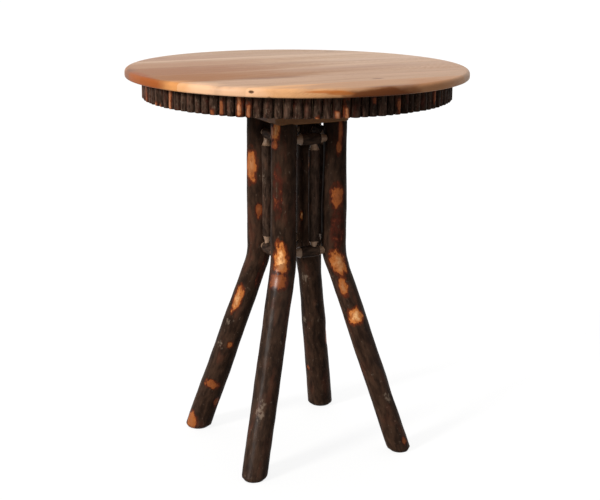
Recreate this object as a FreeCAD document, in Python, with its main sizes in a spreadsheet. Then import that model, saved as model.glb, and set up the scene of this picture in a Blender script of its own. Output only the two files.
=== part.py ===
import FreeCAD, Part

import math
import os

import Sketcher

# Round bar table of hickory. A plank top with a twig apron stands on four bark-on poles, which
# run together as a square column and then bend outward to four feet. The origin is on the floor
# below the middle of the top, +Z is up, and the top boards run along X.

Vector = FreeCAD.Vector
Rotation = FreeCAD.Rotation
Placement = FreeCAD.Placement

UP = Vector(0, 0, 1)
ACROSS = Vector(0, 1, 0)

doc = FreeCAD.newDocument("HickoryTable")


# Driving dimensions, in millimetres unless the note says otherwise

SIZES = [
    ("top_diameter", 914.4, "edge to edge of the round top"),
    ("table_height", 1066.8, "floor to the top surface"),
    ("top_thickness", 22.0, "thickness of the boards"),
    ("top_upper_round", 10.0, "rounding of the upper edge"),
    ("top_lower_round", 5.0, "rounding of the lower edge"),
    ("apron_overhang", 44.0, "edge of the top to the crowns of the twigs"),
    ("apron_height", 55.0, "length of the twigs"),
    ("twig_depth", 11.0, "flat back of a twig to its crown"),
    ("twig_gap", 0.5, "between two twigs at their backs"),
    ("twigs_per_segment", 18.0, "number of twigs on one ring segment"),
    ("ring_segments", 6.0, "number of segments in the apron ring"),
    ("ring_start_angle", 15.0, "degrees from +X to the first joint of the ring"),
    ("ring_height", 52.0, "height of the ring behind the twigs"),
    ("ring_thickness", 18.0, "radial thickness of the ring"),
    ("block_width", 32.0, "glue block along the ring"),
    ("block_depth", 28.0, "glue block from the ring inward"),
    ("block_height", 40.0, "glue block below the boards"),
    ("bearer_width", 45.0, "width of each bearer under the top"),
    ("bearer_depth", 78.0, "full depth of each bearer"),
    ("bearer_end_depth", 34.0, "depth of a bearer where it meets the ring"),
    ("bearer_taper_start", 250.0, "middle of the table to where a bearer starts to rise"),
    ("cap_side", 216.0, "side of the square cap board"),
    ("cap_thickness", 38.0, "thickness of the cap board"),
    ("cap_corner_round", 22.0, "rounding of the cap board's corners"),
    ("cap_edge_round", 5.0, "rounding of the cap board's lower edge"),
    ("post_spacing", 152.8, "between the axes of neighbouring posts in the column"),
    ("post_front_left_diameter", 68.0, "pole under the bark"),
    ("post_front_right_diameter", 63.0, "pole under the bark"),
    ("post_back_left_diameter", 69.0, "pole under the bark"),
    ("post_back_right_diameter", 69.0, "pole under the bark"),
    ("bend_height", 543.0, "floor to where the column and leg axes would cross"),
    ("bend_radius", 155.0, "bend of a post's axis"),
    ("foot_circle_radius", 302.0, "middle of the table to a leg's axis at the floor, unturned"),
    ("foot_drop", 60.0, "how far a pole runs below the floor before it is cut level"),
    ("foot_round", 8.0, "rounding of the edge of a foot"),
    ("rung_diameter", 32.0, "belly of a rung"),
    ("rung_tenon_diameter", 20.0, "round tenon of a rung"),
    ("rung_cone_length", 16.0, "shaved cone between belly and tenon"),
    ("upper_rung_drop", 41.8, "top of a post to the axes of the upper rungs"),
    ("lower_rung_rise", 31.0, "bend height to the axes of the lower rungs"),
    ("rung_stagger", 3.0, "most that one rung lies above or below its level"),
    ("mortise_wall", 1.5, "wood left between the two mortises in a post"),
    ("spindle_diameter", 29.0, "belly of a spindle"),
    ("spindle_tenon_diameter", 16.0, "round tenon of a spindle"),
    ("spindle_tenon_depth", 14.0, "tenon inside the rung"),
    ("spindle_cone_length", 13.0, "shaved cone between belly and tenon"),
    ("joint_clearance", 0.2, "radial room round a tenon"),
    ("drill_clearance", 0.15, "radial room round a nail or screw"),
    ("lag_head_width", 13.0, "lag screw head across its flats"),
    ("lag_head_height", 5.5, "height of the lag screw head"),
    ("lag_diameter", 8.0, "lag screw shank"),
    ("lag_length", 110.0, "lag screw below its head"),
    ("washer_diameter", 24.0, "washer under a lag screw head"),
    ("washer_thickness", 2.0, "washer under a lag screw head"),
    ("cap_screw_head_diameter", 10.0, "screw from the cap board into a bearer"),
    ("cap_screw_head_height", 3.0, "screw from the cap board into a bearer"),
    ("cap_screw_diameter", 5.0, "screw from the cap board into a bearer"),
    ("cap_screw_length", 70.0, "screw from the cap board into a bearer"),
    ("cap_screw_radius", 54.0, "middle of the table to a cap screw"),
    ("cap_screw_recess", 6.0, "depth of the recess for its head"),
    ("bearer_screw_head_diameter", 9.0, "screw from a bearer into a board"),
    ("bearer_screw_head_height", 3.0, "screw from a bearer into a board"),
    ("bearer_screw_diameter", 4.5, "screw from a bearer into a board"),
    ("bearer_screw_length", 41.0, "screw from a bearer into a board"),
    ("bearer_screw_grip", 28.0, "wood between its head and the board"),
    ("block_screw_head_diameter", 8.0, "screw in a glue block"),
    ("block_screw_head_height", 2.5, "screw in a glue block"),
    ("block_screw_diameter", 4.0, "screw in a glue block"),
    ("block_screw_bite", 12.0, "length in the board or the ring"),
    ("block_screw_spread", 8.0, "middle of a block to a screw into the ring"),
    ("nail_diameter", 2.4, "nail through a post and a tenon"),
    ("nail_length", 30.0, "nail through a post and a tenon"),
    ("nail_sink", 3.0, "nail head below the skin of the post"),
    ("brad_diameter", 1.4, "brad through a twig into the ring"),
    ("brad_bite", 11.0, "length of a brad in the ring"),
    ("brad_sink", 1.0, "brad head below the crown of the twig"),
    ("brad_edge_distance", 12.0, "end of a twig to its nearer brad"),
    ("cut_overrun", 6.0, "how far a cutter reaches past the wood"),
]

# Where the boards meet, as shares of the radius of the top, and one more than the joints is the
# number of boards
BOARD_JOINT_SHARES = [-0.742, -0.409, -0.075, 0.258, 0.591]

# Places of the screws along each bearer, as shares of the inner radius of the ring
BEARER_X_SCREW_SHARES = [-0.86, -0.5, 0.5, 0.86]
BEARER_Y_SCREW_SHARES = [-0.935, -0.68, -0.37, 0.5, 0.86]

# Widths of the twigs on one segment, as shares of their mean
TWIG_WIDTH_SHARES = [1.06, 0.93, 1.12, 0.88, 1.0, 1.17, 0.9, 0.97, 1.08,
                     0.85, 1.02, 1.14, 0.94, 0.98, 1.1, 0.87, 1.03, 0.96]

# The faces of the column in quarter turns from the front, each with the posts at its left and
# right as seen from outside
FACES = {
    "front": ("front_left", "front_right"),
    "right": ("front_right", "back_right"),
    "back": ("back_right", "back_left"),
    "left": ("back_left", "front_left"),
}

# Place of each spindle along its face, as shares of the post spacing
SPINDLE_PLACE_SHARES = {"front": 0.09, "right": -0.1, "back": 0.06, "left": -0.154}

# How far each rung lies above its level, as shares of the stagger
UPPER_RUNG_SHARES = {"front": -1.0, "right": 0.3, "back": -0.2, "left": 1.0}
LOWER_RUNG_SHARES = {"front": 0.4, "right": -0.3, "back": 0.5, "left": -0.7}

# Where each post stands along X and Y, as shares of half the post spacing
POST_CORNER_SHARES = {
    "front_left": (-1, -1),
    "front_right": (1, -1),
    "back_left": (-1, 1),
    "back_right": (1, 1),
}

# How far each bent pole is turned about its axis in the column, in degrees
POST_TURNS = {"front_left": -5.5, "front_right": 6.5, "back_left": 1.0, "back_right": 4.0}

# Bend height and foot circle of each post, as shares of the common ones
POST_BEND_SHARES = {"front_left": 1.0, "front_right": 1.04, "back_left": 1.0, "back_right": 1.0}
POST_FOOT_SHARES = {"front_left": 0.97, "front_right": 1.01, "back_left": 0.993,
                    "back_right": 0.957}

sheet = doc.addObject("Spreadsheet::Sheet", "Sizes")
for row, (alias, value, note) in enumerate(SIZES, start=1):
    sheet.set("A%d" % row, alias)
    sheet.set("B%d" % row, str(value))
    sheet.set("C%d" % row, note)
    sheet.setAlias("B%d" % row, alias)
doc.recompute()


class Measure(float):
    """A number that carries the formula which gives it from the sheet."""

    def __new__(cls, value, formula):
        measure = super().__new__(cls, value)
        measure.formula = formula
        return measure

    def joined(self, other, sign, value, swapped=False):
        pair = (formula_of(self), formula_of(other))
        if swapped:
            pair = (pair[1], pair[0])
        return Measure(value, "(%s %s %s)" % (pair[0], sign, pair[1]))

    def __add__(self, other):
        return self.joined(other, "+", float(self) + float(other))

    def __sub__(self, other):
        return self.joined(other, "-", float(self) - float(other))

    def __rsub__(self, other):
        return self.joined(other, "-", float(other) - float(self), swapped=True)

    def __mul__(self, other):
        return self.joined(other, "*", float(self) * float(other))

    def __truediv__(self, other):
        return self.joined(other, "/", float(self) / float(other))

    def __neg__(self):
        return 0 - self

    __radd__ = __add__
    __rmul__ = __mul__


def formula_of(number):
    """The sheet formula of a measure, or a plain number as text."""
    return number.formula if isinstance(number, Measure) else repr(float(number))


def size(alias):
    """A driving dimension from the sheet."""
    return Measure(sheet.get(alias), "Sizes." + alias)


def root(measure):
    """The square root of a measure."""
    return Measure(math.sqrt(measure), "sqrt(%s)" % measure.formula)


def count(alias):
    """A number of copies from the sheet."""
    return max(1, int(round(size(alias))))


# Levels, radii and reaches that follow from the sheet

overrun = size("cut_overrun")
top_radius = size("top_diameter") / 2
underside = size("table_height") - size("top_thickness")
crown_radius = top_radius - size("apron_overhang")
ring_radius = crown_radius - size("twig_depth")
ring_inner_radius = ring_radius - size("ring_thickness")
ring_bottom = underside - size("ring_height")
cap_top = underside - size("bearer_depth")
post_top = cap_top - size("cap_thickness")
post_offset = size("post_spacing") / 2
upper_rung_level = post_top - size("upper_rung_drop")
lower_rung_level = size("bend_height") + size("lower_rung_rise")
mortise_floor = size("rung_tenon_diameter") / 2 + size("joint_clearance") + size("mortise_wall")
bearer_half_width = size("bearer_width") / 2
bearer_half_length = root(ring_inner_radius * ring_inner_radius - bearer_half_width * bearer_half_width)


# Shared steps

def bind(piece, **fields):
    """Ties the properties of a feature to their formulas."""
    for field, measure in fields.items():
        piece.setExpression(field, measure.formula)


def place(piece, x=0, y=0, z=0, rotation=Rotation()):
    """Puts a feature at a point, each coordinate tied to its formula."""
    piece.Placement = Placement(Vector(x, y, z), rotation)
    for axis, measure in zip("xyz", (x, y, z)):
        if isinstance(measure, Measure):
            piece.setExpression("Placement.Base." + axis, measure.formula)


def add_sketch(body, plane_role):
    """A sketch on one of a body's own planes."""
    sketch = body.newObject("Sketcher::SketchObject", body.Name + "_outline")
    plane = [item for item in body.Origin.OriginFeatures if item.Role == plane_role][0]
    sketch.AttachmentSupport = (plane, [""])
    sketch.MapMode = "FlatFace"
    return sketch


def add_outline(sketch, corners):
    """Closed outline of straight lines, each corner held by its two distances from the axes."""
    last = len(corners) - 1
    for index, corner in enumerate(corners):
        following = corners[index + 1 if index < last else 0]
        start = Vector(corner[0], corner[1], 0)
        sketch.addGeometry(Part.LineSegment(start, Vector(following[0], following[1], 0)))
    for index, corner in enumerate(corners):
        before = index - 1 if index > 0 else last
        sketch.addConstraint(Sketcher.Constraint("Coincident", before, 2, index, 1))
        for kind, axis, distance in (("DistanceX", -2, corner[0]), ("DistanceY", -1, corner[1])):
            if float(distance) == 0:
                sketch.addConstraint(Sketcher.Constraint("PointOnObject", index, 1, axis))
                continue
            number = sketch.addConstraint(
                Sketcher.Constraint(kind, -1, 1, index, 1, float(distance)))
            sketch.setExpression("Constraints[%d]" % number, distance.formula)


def turned_body(name, half_profile):
    """A body of revolution about its own Z axis, from points of radius and height."""
    body = doc.addObject("PartDesign::Body", name)
    sketch = add_sketch(body, "XZ_Plane")
    add_outline(sketch, half_profile)
    turning = body.newObject("PartDesign::Revolution", name + "_turning")
    turning.Profile = sketch
    turning.ReferenceAxis = (sketch, ["V_Axis"])
    turning.Angle = 360
    return body


def rod(start, direction, length, diameter):
    """A plain round bar from a point along a direction."""
    return Part.makeCylinder(float(diameter) / 2, float(length), start, direction)


def solids_feature(name, shapes):
    """A feature that holds a set of separate solids."""
    feature = doc.addObject("Part::Feature", name)
    feature.Shape = Part.Compound(shapes)
    return feature


def drilled(name, blank, cutters):
    """A blank with the cutters that reach it taken out, or the blank itself under its name."""
    doc.recompute()
    room = blank.Shape.BoundBox
    near = [cutter for cutter in cutters if room.intersect(cutter.BoundBox)]
    cut = doc.addObject("Part::Cut", name)
    cut.Base = blank
    cut.Tool = solids_feature(name + "_holes", near)
    return cut


def quarter_turned(point, turns):
    """A point or direction turned about Z by quarter turns."""
    x, y, z = point
    for _ in range(turns):
        x, y = -y, x
    return x, y, z


PIECES = {}


def keep(name, piece):
    """Registers a finished sub-part under its label."""
    piece.Label = name
    PIECES[name] = piece


# Posts: bark-on poles bent just below the lower rungs, one piece from cap board to floor

def post_spine(body, name):
    """The axis of a post: straight down the column, round the bend and out along the leg."""
    drop = size("foot_drop")
    column = post_offset * math.sqrt(2)
    bend_height = size("bend_height") * POST_BEND_SHARES[name]
    foot_out = size("foot_circle_radius") * POST_FOOT_SHARES[name]
    lean = (foot_out - column) / bend_height
    end_out = foot_out + drop * lean
    splay = math.atan(lean)
    bend_radius = float(size("bend_radius"))
    reach = bend_radius * math.tan(splay / 2)
    middle = Vector(column + bend_radius, bend_height + reach, 0)
    bend_top = Vector(column, middle.y, 0)
    bend_end = middle + Vector(-math.cos(splay), -math.sin(splay), 0) * bend_radius
    sketch = add_sketch(body, "XZ_Plane")
    sketch.addGeometry(Part.LineSegment(Vector(column, post_top, 0), bend_top))
    sketch.addGeometry(Part.ArcOfCircle(
        Part.Circle(middle, UP, bend_radius), math.pi, math.pi + splay))
    sketch.addGeometry(Part.LineSegment(bend_end, Vector(end_out, -drop, 0)))
    sketch.addGeometry(Part.Point(Vector(column, bend_height, 0)), True)
    sketch.addConstraint(Sketcher.Constraint("Vertical", 0))
    sketch.addConstraint(Sketcher.Constraint("Tangent", 0, 2, 1, 1))
    sketch.addConstraint(Sketcher.Constraint("Tangent", 1, 2, 2, 1))
    sketch.addConstraint(Sketcher.Constraint("PointOnObject", 3, 1, 2))
    held = [
        (Sketcher.Constraint("DistanceX", -1, 1, 0, 1, float(column)), column),
        (Sketcher.Constraint("DistanceY", -1, 1, 0, 1, float(post_top)), post_top),
        (Sketcher.Constraint("Radius", 1, bend_radius), size("bend_radius")),
        (Sketcher.Constraint("DistanceX", -1, 1, 3, 1, float(column)), column),
        (Sketcher.Constraint("DistanceY", -1, 1, 3, 1, float(bend_height)), bend_height),
        (Sketcher.Constraint("DistanceY", 2, 2, -1, 1, float(drop)), drop),
        (Sketcher.Constraint("DistanceX", -1, 1, 2, 2, float(end_out)), end_out),
    ]
    for constraint, measure in held:
        number = sketch.addConstraint(constraint)
        sketch.setExpression("Constraints[%d]" % number, measure.formula)
    return sketch, column


def post_body(name, corner):
    """The pole of one post, level at the floor, with its leg turned away from its corner."""
    diameter = size("post_%s_diameter" % name)
    body = doc.addObject("PartDesign::Body", "post_%s_blank" % name)
    spine, column = post_spine(body, name)
    spine.Label = body.Name + "_spine"
    section = add_sketch(body, "XY_Plane")
    section.setExpression("AttachmentOffset.Base.z", post_top.formula)
    section.addGeometry(Part.Circle(Vector(column, 0, 0), UP, float(diameter) / 2))
    section.addConstraint(Sketcher.Constraint("PointOnObject", 0, 3, -1))
    for kind, measure in (("DistanceX", column), ("Diameter", diameter)):
        places = (-1, 1, 0, 3) if kind == "DistanceX" else (0,)
        number = section.addConstraint(Sketcher.Constraint(kind, *places, float(measure)))
        section.setExpression("Constraints[%d]" % number, measure.formula)
    pole = body.newObject("PartDesign::AdditivePipe", body.Name + "_pole")
    pole.Profile = section
    pole.Spine = (spine, ["Edge1", "Edge2", "Edge3"])
    doc.recompute()

    level = add_sketch(body, "XY_Plane")
    reach = size("foot_circle_radius") * 2
    add_outline(level, [(0, -reach), (reach, -reach), (reach, reach), (0, reach)])
    below = body.newObject("PartDesign::Pocket", body.Name + "_level")
    below.Profile = level
    below.Reversed = False
    bind(below, Length=size("foot_drop") + diameter)
    doc.recompute()
    rim = [index for index, edge in enumerate(below.Shape.Edges, start=1)
           if edge.BoundBox.ZMax < float(overrun)]
    rounding = body.newObject("PartDesign::Fillet", body.Name + "_foot")
    rounding.Base = (below, ["Edge%d" % index for index in rim])
    bind(rounding, Radius=size("foot_round"))
    facing = math.degrees(math.atan2(corner[1], corner[0])) + POST_TURNS[name]
    along = (column * math.cos(math.radians(facing)), column * math.sin(math.radians(facing)))
    place(body, post_offset * corner[0] - along[0], post_offset * corner[1] - along[1], 0,
          Rotation(UP, facing))
    return body


post_blanks = {name: post_body(name, corner) for name, corner in POST_CORNER_SHARES.items()}


# Rungs and spindles: bark-on sticks with shaved round tenons

def rung_body(name, left_post, right_post):
    """One rung along its own Z axis, between the floors of its two mortises."""
    tenon = size("rung_tenon_diameter") / 2
    belly = size("rung_diameter") / 2
    length = size("post_spacing") - mortise_floor * 2
    left = size("post_%s_diameter" % left_post) / 2 - mortise_floor
    right = size("post_%s_diameter" % right_post) / 2 - mortise_floor
    cone = size("rung_cone_length")
    return turned_body(name, [
        (0, 0),
        (tenon, 0),
        (tenon, left),
        (belly, left + cone),
        (belly, length - right - cone),
        (tenon, length - right),
        (tenon, length),
        (0, length),
    ])


def spindle_body(name, length):
    """One spindle along its own Z axis, between the floors of its two mortises."""
    tenon = size("spindle_tenon_diameter") / 2
    belly = size("spindle_diameter") / 2
    depth = size("spindle_tenon_depth")
    cone = size("spindle_cone_length")
    return turned_body(name, [
        (0, 0),
        (tenon, 0),
        (tenon, depth),
        (belly, depth + cone),
        (belly, length - depth - cone),
        (tenon, length - depth),
        (tenon, length),
        (0, length),
    ])


def nail_shapes(turns, post, side, height, extra):
    """A nail through a post into a tenon, or with extra room its hole."""
    radius = float(size("post_%s_diameter" % post)) / 2
    tenon_length = radius - float(mortise_floor)
    inward = float(mortise_floor) + tenon_length / 2
    depth_here = math.sqrt(radius ** 2 - inward ** 2) - float(size("nail_sink"))
    x = side * (float(post_offset) - inward)
    start = quarter_turned((x, -float(post_offset) - depth_here, height), turns)
    direction = quarter_turned((0, 1, 0), turns)
    nail = rod(Vector(*start), Vector(*direction), size("nail_length"), size("nail_diameter"))
    if not extra:
        return nail
    back = Vector(*direction) * (-float(overrun))
    return rod(Vector(*start) + back, Vector(*direction), size("nail_length") + overrun,
               size("nail_diameter") + size("drill_clearance") * 2)


post_cutters = []
rung_cutters = []
nails = []
sticks = {}
for turns, (face, (left_post, right_post)) in enumerate(FACES.items()):
    stagger = size("rung_stagger")
    heights = {
        "upper": upper_rung_level + stagger * UPPER_RUNG_SHARES[face],
        "lower": lower_rung_level + stagger * LOWER_RUNG_SHARES[face],
    }
    for level, height in heights.items():
        name = "%s_rung_%s" % (level, face)
        body = rung_body(name + "_turned", left_post, right_post)
        x, y, _ = quarter_turned((mortise_floor - post_offset, -post_offset, 0), turns)
        along = Rotation(UP, 90 * turns).multiply(Rotation(ACROSS, 90))
        place(body, x, y, height, along)
        sticks[name] = body
        direction = Vector(*quarter_turned((1, 0, 0), turns))
        post_cutters.append(rod(
            Vector(x, y, height), direction, size("post_spacing") - mortise_floor * 2,
            size("rung_tenon_diameter") + size("joint_clearance") * 2))
        for post, side in ((left_post, -1), (right_post, 1)):
            nails.append(nail_shapes(turns, post, side, float(height), False))
            hole = nail_shapes(turns, post, side, float(height), True)
            post_cutters.append(hole)
            rung_cutters.append(hole)

    inset = size("rung_diameter") / 2 - size("spindle_tenon_depth")
    foot = heights["lower"] + inset
    length = heights["upper"] - inset - foot
    name = "spindle_" + face
    body = spindle_body(name, length)
    along_face = size("post_spacing") * SPINDLE_PLACE_SHARES[face]
    x, y, _ = quarter_turned((along_face, -post_offset, 0), turns)
    place(body, x, y, foot)
    keep(name, body)
    rung_cutters.append(rod(
        Vector(x, y, foot), UP, length,
        size("spindle_tenon_diameter") + size("joint_clearance") * 2))

for name, body in sticks.items():
    keep(name, drilled(name, body, rung_cutters))
keep("tenon_nails", solids_feature("tenon_nails", nails))


# Screws and washers

def screw(kind, seat, direction, length, hexagonal=False):
    """A screw whose head rests on seat and whose shank runs along direction to a point."""
    shank = float(size(kind + "_diameter")) / 2
    head_height = float(size(kind + "_head_height"))
    point = 2 * shank
    if hexagonal:
        corner = float(size(kind + "_head_width")) / math.sqrt(3)
        corners = [Vector(corner * math.cos(math.radians(60 * k)),
                          corner * math.sin(math.radians(60 * k)), -head_height)
                   for k in range(7)]
        head = Part.Face(Part.makePolygon(corners)).extrude(UP * head_height)
    else:
        head = Part.makeCylinder(float(size(kind + "_head_diameter")) / 2, head_height,
                                 UP * -head_height)
    body = Part.makeCylinder(shank, float(length) - point)
    tip = Part.makeCone(shank, 0, point, UP * (float(length) - point))
    shape = head.fuse([body, tip]).removeSplitter()
    shape.Placement = Placement(seat, Rotation(UP, direction))
    return shape


def screw_hole(kind, seat, direction, length, recess=0.0):
    """The hole of a screw, with a recess behind its seat when the head lies in the wood."""
    wide = size(kind + "_diameter") + size("drill_clearance") * 2
    holes = [rod(seat - direction * float(overrun), direction, float(length) + float(overrun), wide)]
    if recess > 0:
        head = size(kind + "_head_diameter") + size("drill_clearance") * 2
        holes.append(rod(seat - direction * float(recess), direction, recess, head))
    return holes


# Lag screws stand on washers on the cap board and run down into the posts
lags = []
washers = []
lag_holes = []
for corner in POST_CORNER_SHARES.values():
    spot = Vector(corner[0] * post_offset, corner[1] * post_offset, cap_top)
    washer = rod(spot, UP, size("washer_thickness"), size("washer_diameter"))
    bore = rod(spot, UP, size("washer_thickness"),
               size("lag_diameter") + size("drill_clearance") * 2)
    washers.append(washer.cut(bore))
    seat = spot + UP * float(size("washer_thickness"))
    lags.append(screw("lag", seat, -UP, size("lag_length"), hexagonal=True))
    lag_holes += screw_hole("lag", seat, -UP, size("lag_length"))
keep("post_lags", solids_feature("post_lags", lags))
keep("lag_washers", solids_feature("lag_washers", washers))

for name, blank in post_blanks.items():
    keep("post_" + name, drilled("post_" + name, blank, post_cutters + lag_holes))


# Cap board: a square board with rounded corners on the tops of the posts

def cap_body():
    side = size("cap_side")
    body = doc.addObject("PartDesign::Body", "cap_blank")
    sketch = add_sketch(body, "XY_Plane")
    add_outline(sketch, [(0, 0), (side, 0), (side, side), (0, side)])
    pad = body.newObject("PartDesign::Pad", "cap_pad")
    pad.Profile = sketch
    bind(pad, Length=size("cap_thickness"))
    doc.recompute()
    thickness = float(size("cap_thickness"))
    upright = [index for index, edge in enumerate(pad.Shape.Edges, start=1)
               if edge.BoundBox.ZLength > thickness / 2]
    corners = body.newObject("PartDesign::Fillet", "cap_corners")
    corners.Base = (pad, ["Edge%d" % index for index in upright])
    bind(corners, Radius=size("cap_corner_round"))
    doc.recompute()
    low = [index for index, edge in enumerate(corners.Shape.Edges, start=1)
           if edge.BoundBox.ZMax < thickness / 2]
    rounding = body.newObject("PartDesign::Fillet", "cap_lower_edge")
    rounding.Base = (corners, ["Edge%d" % index for index in low])
    bind(rounding, Radius=size("cap_edge_round"))
    place(body, -side / 2, -side / 2, post_top)
    return body


cap_screws = []
cap_screw_holes = []
for turns in range(4):
    x, y, _ = quarter_turned((size("cap_screw_radius"), 0, 0), turns)
    seat = Vector(x, y, post_top + size("cap_screw_recess"))
    cap_screws.append(screw("cap_screw", seat, UP, size("cap_screw_length")))
    cap_screw_holes += screw_hole("cap_screw", seat, UP, size("cap_screw_length"),
                                  size("cap_screw_recess"))
keep("cap_screws", solids_feature("cap_screws", cap_screws))
keep("cap_board", drilled("cap_board", cap_body(), lag_holes + cap_screw_holes))


# Bearers: two rails half-lapped into a cross, rising towards the ring at their ends

def bearer_blank(name):
    """One rail along X with its top at the boards and its ends tapered upward."""
    depth = size("bearer_depth")
    length = bearer_half_length * 2
    rise = bearer_half_length - size("bearer_taper_start")
    end_bottom = depth - size("bearer_end_depth")
    body = doc.addObject("PartDesign::Body", name)
    sketch = add_sketch(body, "XZ_Plane")
    add_outline(sketch, [
        (0, end_bottom),
        (rise, 0),
        (length - rise, 0),
        (length, end_bottom),
        (length, depth),
        (0, depth),
    ])
    pad = body.newObject("PartDesign::Pad", name + "_pad")
    pad.Profile = sketch
    pad.Midplane = True
    bind(pad, Length=size("bearer_width"))
    return body


def lap_notch(name, low):
    """The half of the middle of a rail that the other rail takes, with a little room."""
    room = size("joint_clearance")
    notch = doc.addObject("Part::Box", name)
    bind(notch, Length=size("bearer_width") + room * 2, Width=size("bearer_width") + room * 2,
         Height=size("bearer_depth") / 2 + overrun)
    bottom = cap_top - overrun if low else cap_top + size("bearer_depth") / 2
    corner = -bearer_half_width - room
    place(notch, corner, corner, bottom)
    return notch


bearer_screws = []
bearer_screw_holes = []
screw_level = underside - size("bearer_screw_grip")
screw_spots = [(share * ring_inner_radius, 0) for share in BEARER_X_SCREW_SHARES]
screw_spots += [(0, share * ring_inner_radius) for share in BEARER_Y_SCREW_SHARES]
for x, y in screw_spots:
    seat = Vector(x, y, screw_level)
    bearer_screws.append(screw("bearer_screw", seat, UP, size("bearer_screw_length")))
    bearer_screw_holes += screw_hole("bearer_screw", seat, UP, size("bearer_screw_length"),
                                     size("bearer_depth"))
keep("bearer_screws", solids_feature("bearer_screws", bearer_screws))

for name, turns, low in (("bearer_x", 0, True), ("bearer_y", 1, False)):
    rail = bearer_blank(name + "_blank")
    x, y, _ = quarter_turned((-bearer_half_length, 0, 0), turns)
    place(rail, x, y, cap_top, Rotation(UP, 90 * turns))
    lapped = doc.addObject("Part::Cut", name + "_lapped")
    lapped.Base = rail
    lapped.Tool = lap_notch(name + "_notch", low)
    keep(name, drilled(name, lapped, bearer_screw_holes + cap_screw_holes))


# Apron: ring segments under the boards, glue blocks over their joints, and the twigs

segment_count = count("ring_segments")
segment_angle = 360.0 / segment_count
start_angle = float(size("ring_start_angle"))

block_screws = []
block_screw_holes = []
blocks = []
block_face = root(ring_inner_radius * ring_inner_radius
                  - size("block_width") * size("block_width") / 4)
for index in range(segment_count):
    turn = Rotation(UP, start_angle + index * segment_angle)
    inner_face = float(block_face - size("block_depth"))
    block = Part.makeBox(float(size("block_depth")), float(size("block_width")),
                         float(size("block_height")),
                         Vector(inner_face, -float(size("block_width")) / 2,
                                float(underside - size("block_height"))))
    block.Placement = Placement(Vector(), turn).multiply(block.Placement)
    blocks.append(block)
    middle = float(block_face - size("block_depth") / 2)
    seat = turn.multVec(Vector(middle, 0, underside - size("block_height")))
    length = size("block_height") + size("block_screw_bite")
    block_screws.append(screw("block_screw", seat, UP, length))
    block_screw_holes += screw_hole("block_screw", seat, UP, length)
    outward = turn.multVec(Vector(1, 0, 0))
    length = size("block_depth") + size("block_screw_bite")
    for side in (-1, 1):
        across = side * float(size("block_screw_spread"))
        level = float(underside - size("ring_height") / 2)
        seat = turn.multVec(Vector(inner_face, across, level))
        block_screws.append(screw("block_screw", seat, outward, length))
        block_screw_holes += screw_hole("block_screw", seat, outward, length)
keep("block_screws", solids_feature("block_screws", block_screws))
keep("apron_blocks", drilled("apron_blocks", solids_feature("apron_block_blanks", blocks),
                             block_screw_holes))


def twig_layout():
    """Middle angle, half width and depth of each twig of one segment, from its first joint."""
    number = count("twigs_per_segment")
    shares = [TWIG_WIDTH_SHARES[k % len(TWIG_WIDTH_SHARES)] for k in range(number)]
    spread = segment_angle / sum(shares)
    mean = segment_angle / number
    layout = []
    angle = 0.0
    for share in shares:
        wide = share * spread
        half_width = float(ring_radius) * math.tan(math.radians(wide / 2))
        half_width -= float(size("twig_gap")) / 2
        depth = min(float(size("twig_depth")) * math.sqrt(wide / mean), half_width)
        layout.append((angle + wide / 2, half_width, depth))
        angle += wide
    return layout


def twig_set(first_angle):
    """The twigs of one segment, their brads and the holes of the brads."""
    brad_diameter = size("brad_diameter")
    hole_diameter = brad_diameter + size("drill_clearance") * 2
    levels = (underside - size("brad_edge_distance"),
              underside - size("apron_height") + size("brad_edge_distance"))
    bottom = float(underside - size("apron_height"))
    back = float(ring_radius)
    twigs, brads, holes = [], [], []
    for angle, half_width, depth in twig_layout():
        turn = Rotation(UP, first_angle + angle)
        left = Vector(back, -half_width, bottom)
        right = Vector(back, half_width, bottom)
        crown = Part.Arc(left, Vector(back + depth, 0, bottom), right)
        outline = Part.Wire([crown.toShape(), Part.makeLine(right, left)])
        twig = Part.Face(outline).extrude(UP * float(size("apron_height")))
        twig.Placement = Placement(Vector(), turn)
        outward = turn.multVec(Vector(1, 0, 0))
        for level in levels:
            start = outward * (back - float(size("brad_bite"))) + UP * float(level)
            length = float(size("brad_bite")) + depth
            brads.append(rod(start, outward, length - float(size("brad_sink")), brad_diameter))
            holes.append(rod(start, outward, length + float(overrun), hole_diameter))
        twigs.append(twig.cut(holes[-len(levels):]))
    return twigs, brads, holes


def turned_copies(name, first):
    """The first piece of the apron and its copies at the other segments."""
    keep(name + "_1", first)
    for index in range(1, segment_count):
        copy = doc.addObject("Part::Compound", "%s_%d" % (name, index + 1))
        copy.Links = [first]
        copy.Placement = Placement(Vector(), Rotation(UP, index * segment_angle))
        keep("%s_%d" % (name, index + 1), copy)


def ring_segment():
    """The first segment of the ring, before it is drilled."""
    outer = doc.addObject("Part::Cylinder", "ring_outer")
    inner = doc.addObject("Part::Cylinder", "ring_inner")
    bind(outer, Radius=ring_radius, Height=size("ring_height"))
    bind(inner, Radius=ring_inner_radius, Height=size("ring_height") + overrun * 2)
    outer.setExpression("Angle", "360 / Sizes.ring_segments")
    place(outer, 0, 0, ring_bottom, Rotation(UP, start_angle))
    place(inner, 0, 0, ring_bottom - overrun)
    segment = doc.addObject("Part::Cut", "ring_blank")
    segment.Base = outer
    segment.Tool = inner
    return segment


twigs, brads, brad_holes = twig_set(start_angle)
turned_copies("apron_twigs", solids_feature("apron_twigs_1", twigs))
turned_copies("apron_ring", drilled("apron_ring_1", ring_segment(), brad_holes + block_screw_holes))
all_brads = []
for index in range(segment_count):
    for brad in brads:
        turned = brad.copy()
        turned.rotate(Vector(), UP, index * segment_angle)
        all_brads.append(turned)
keep("twig_brads", solids_feature("twig_brads", all_brads))


# Top: boards glued edge to edge and cut round

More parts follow.
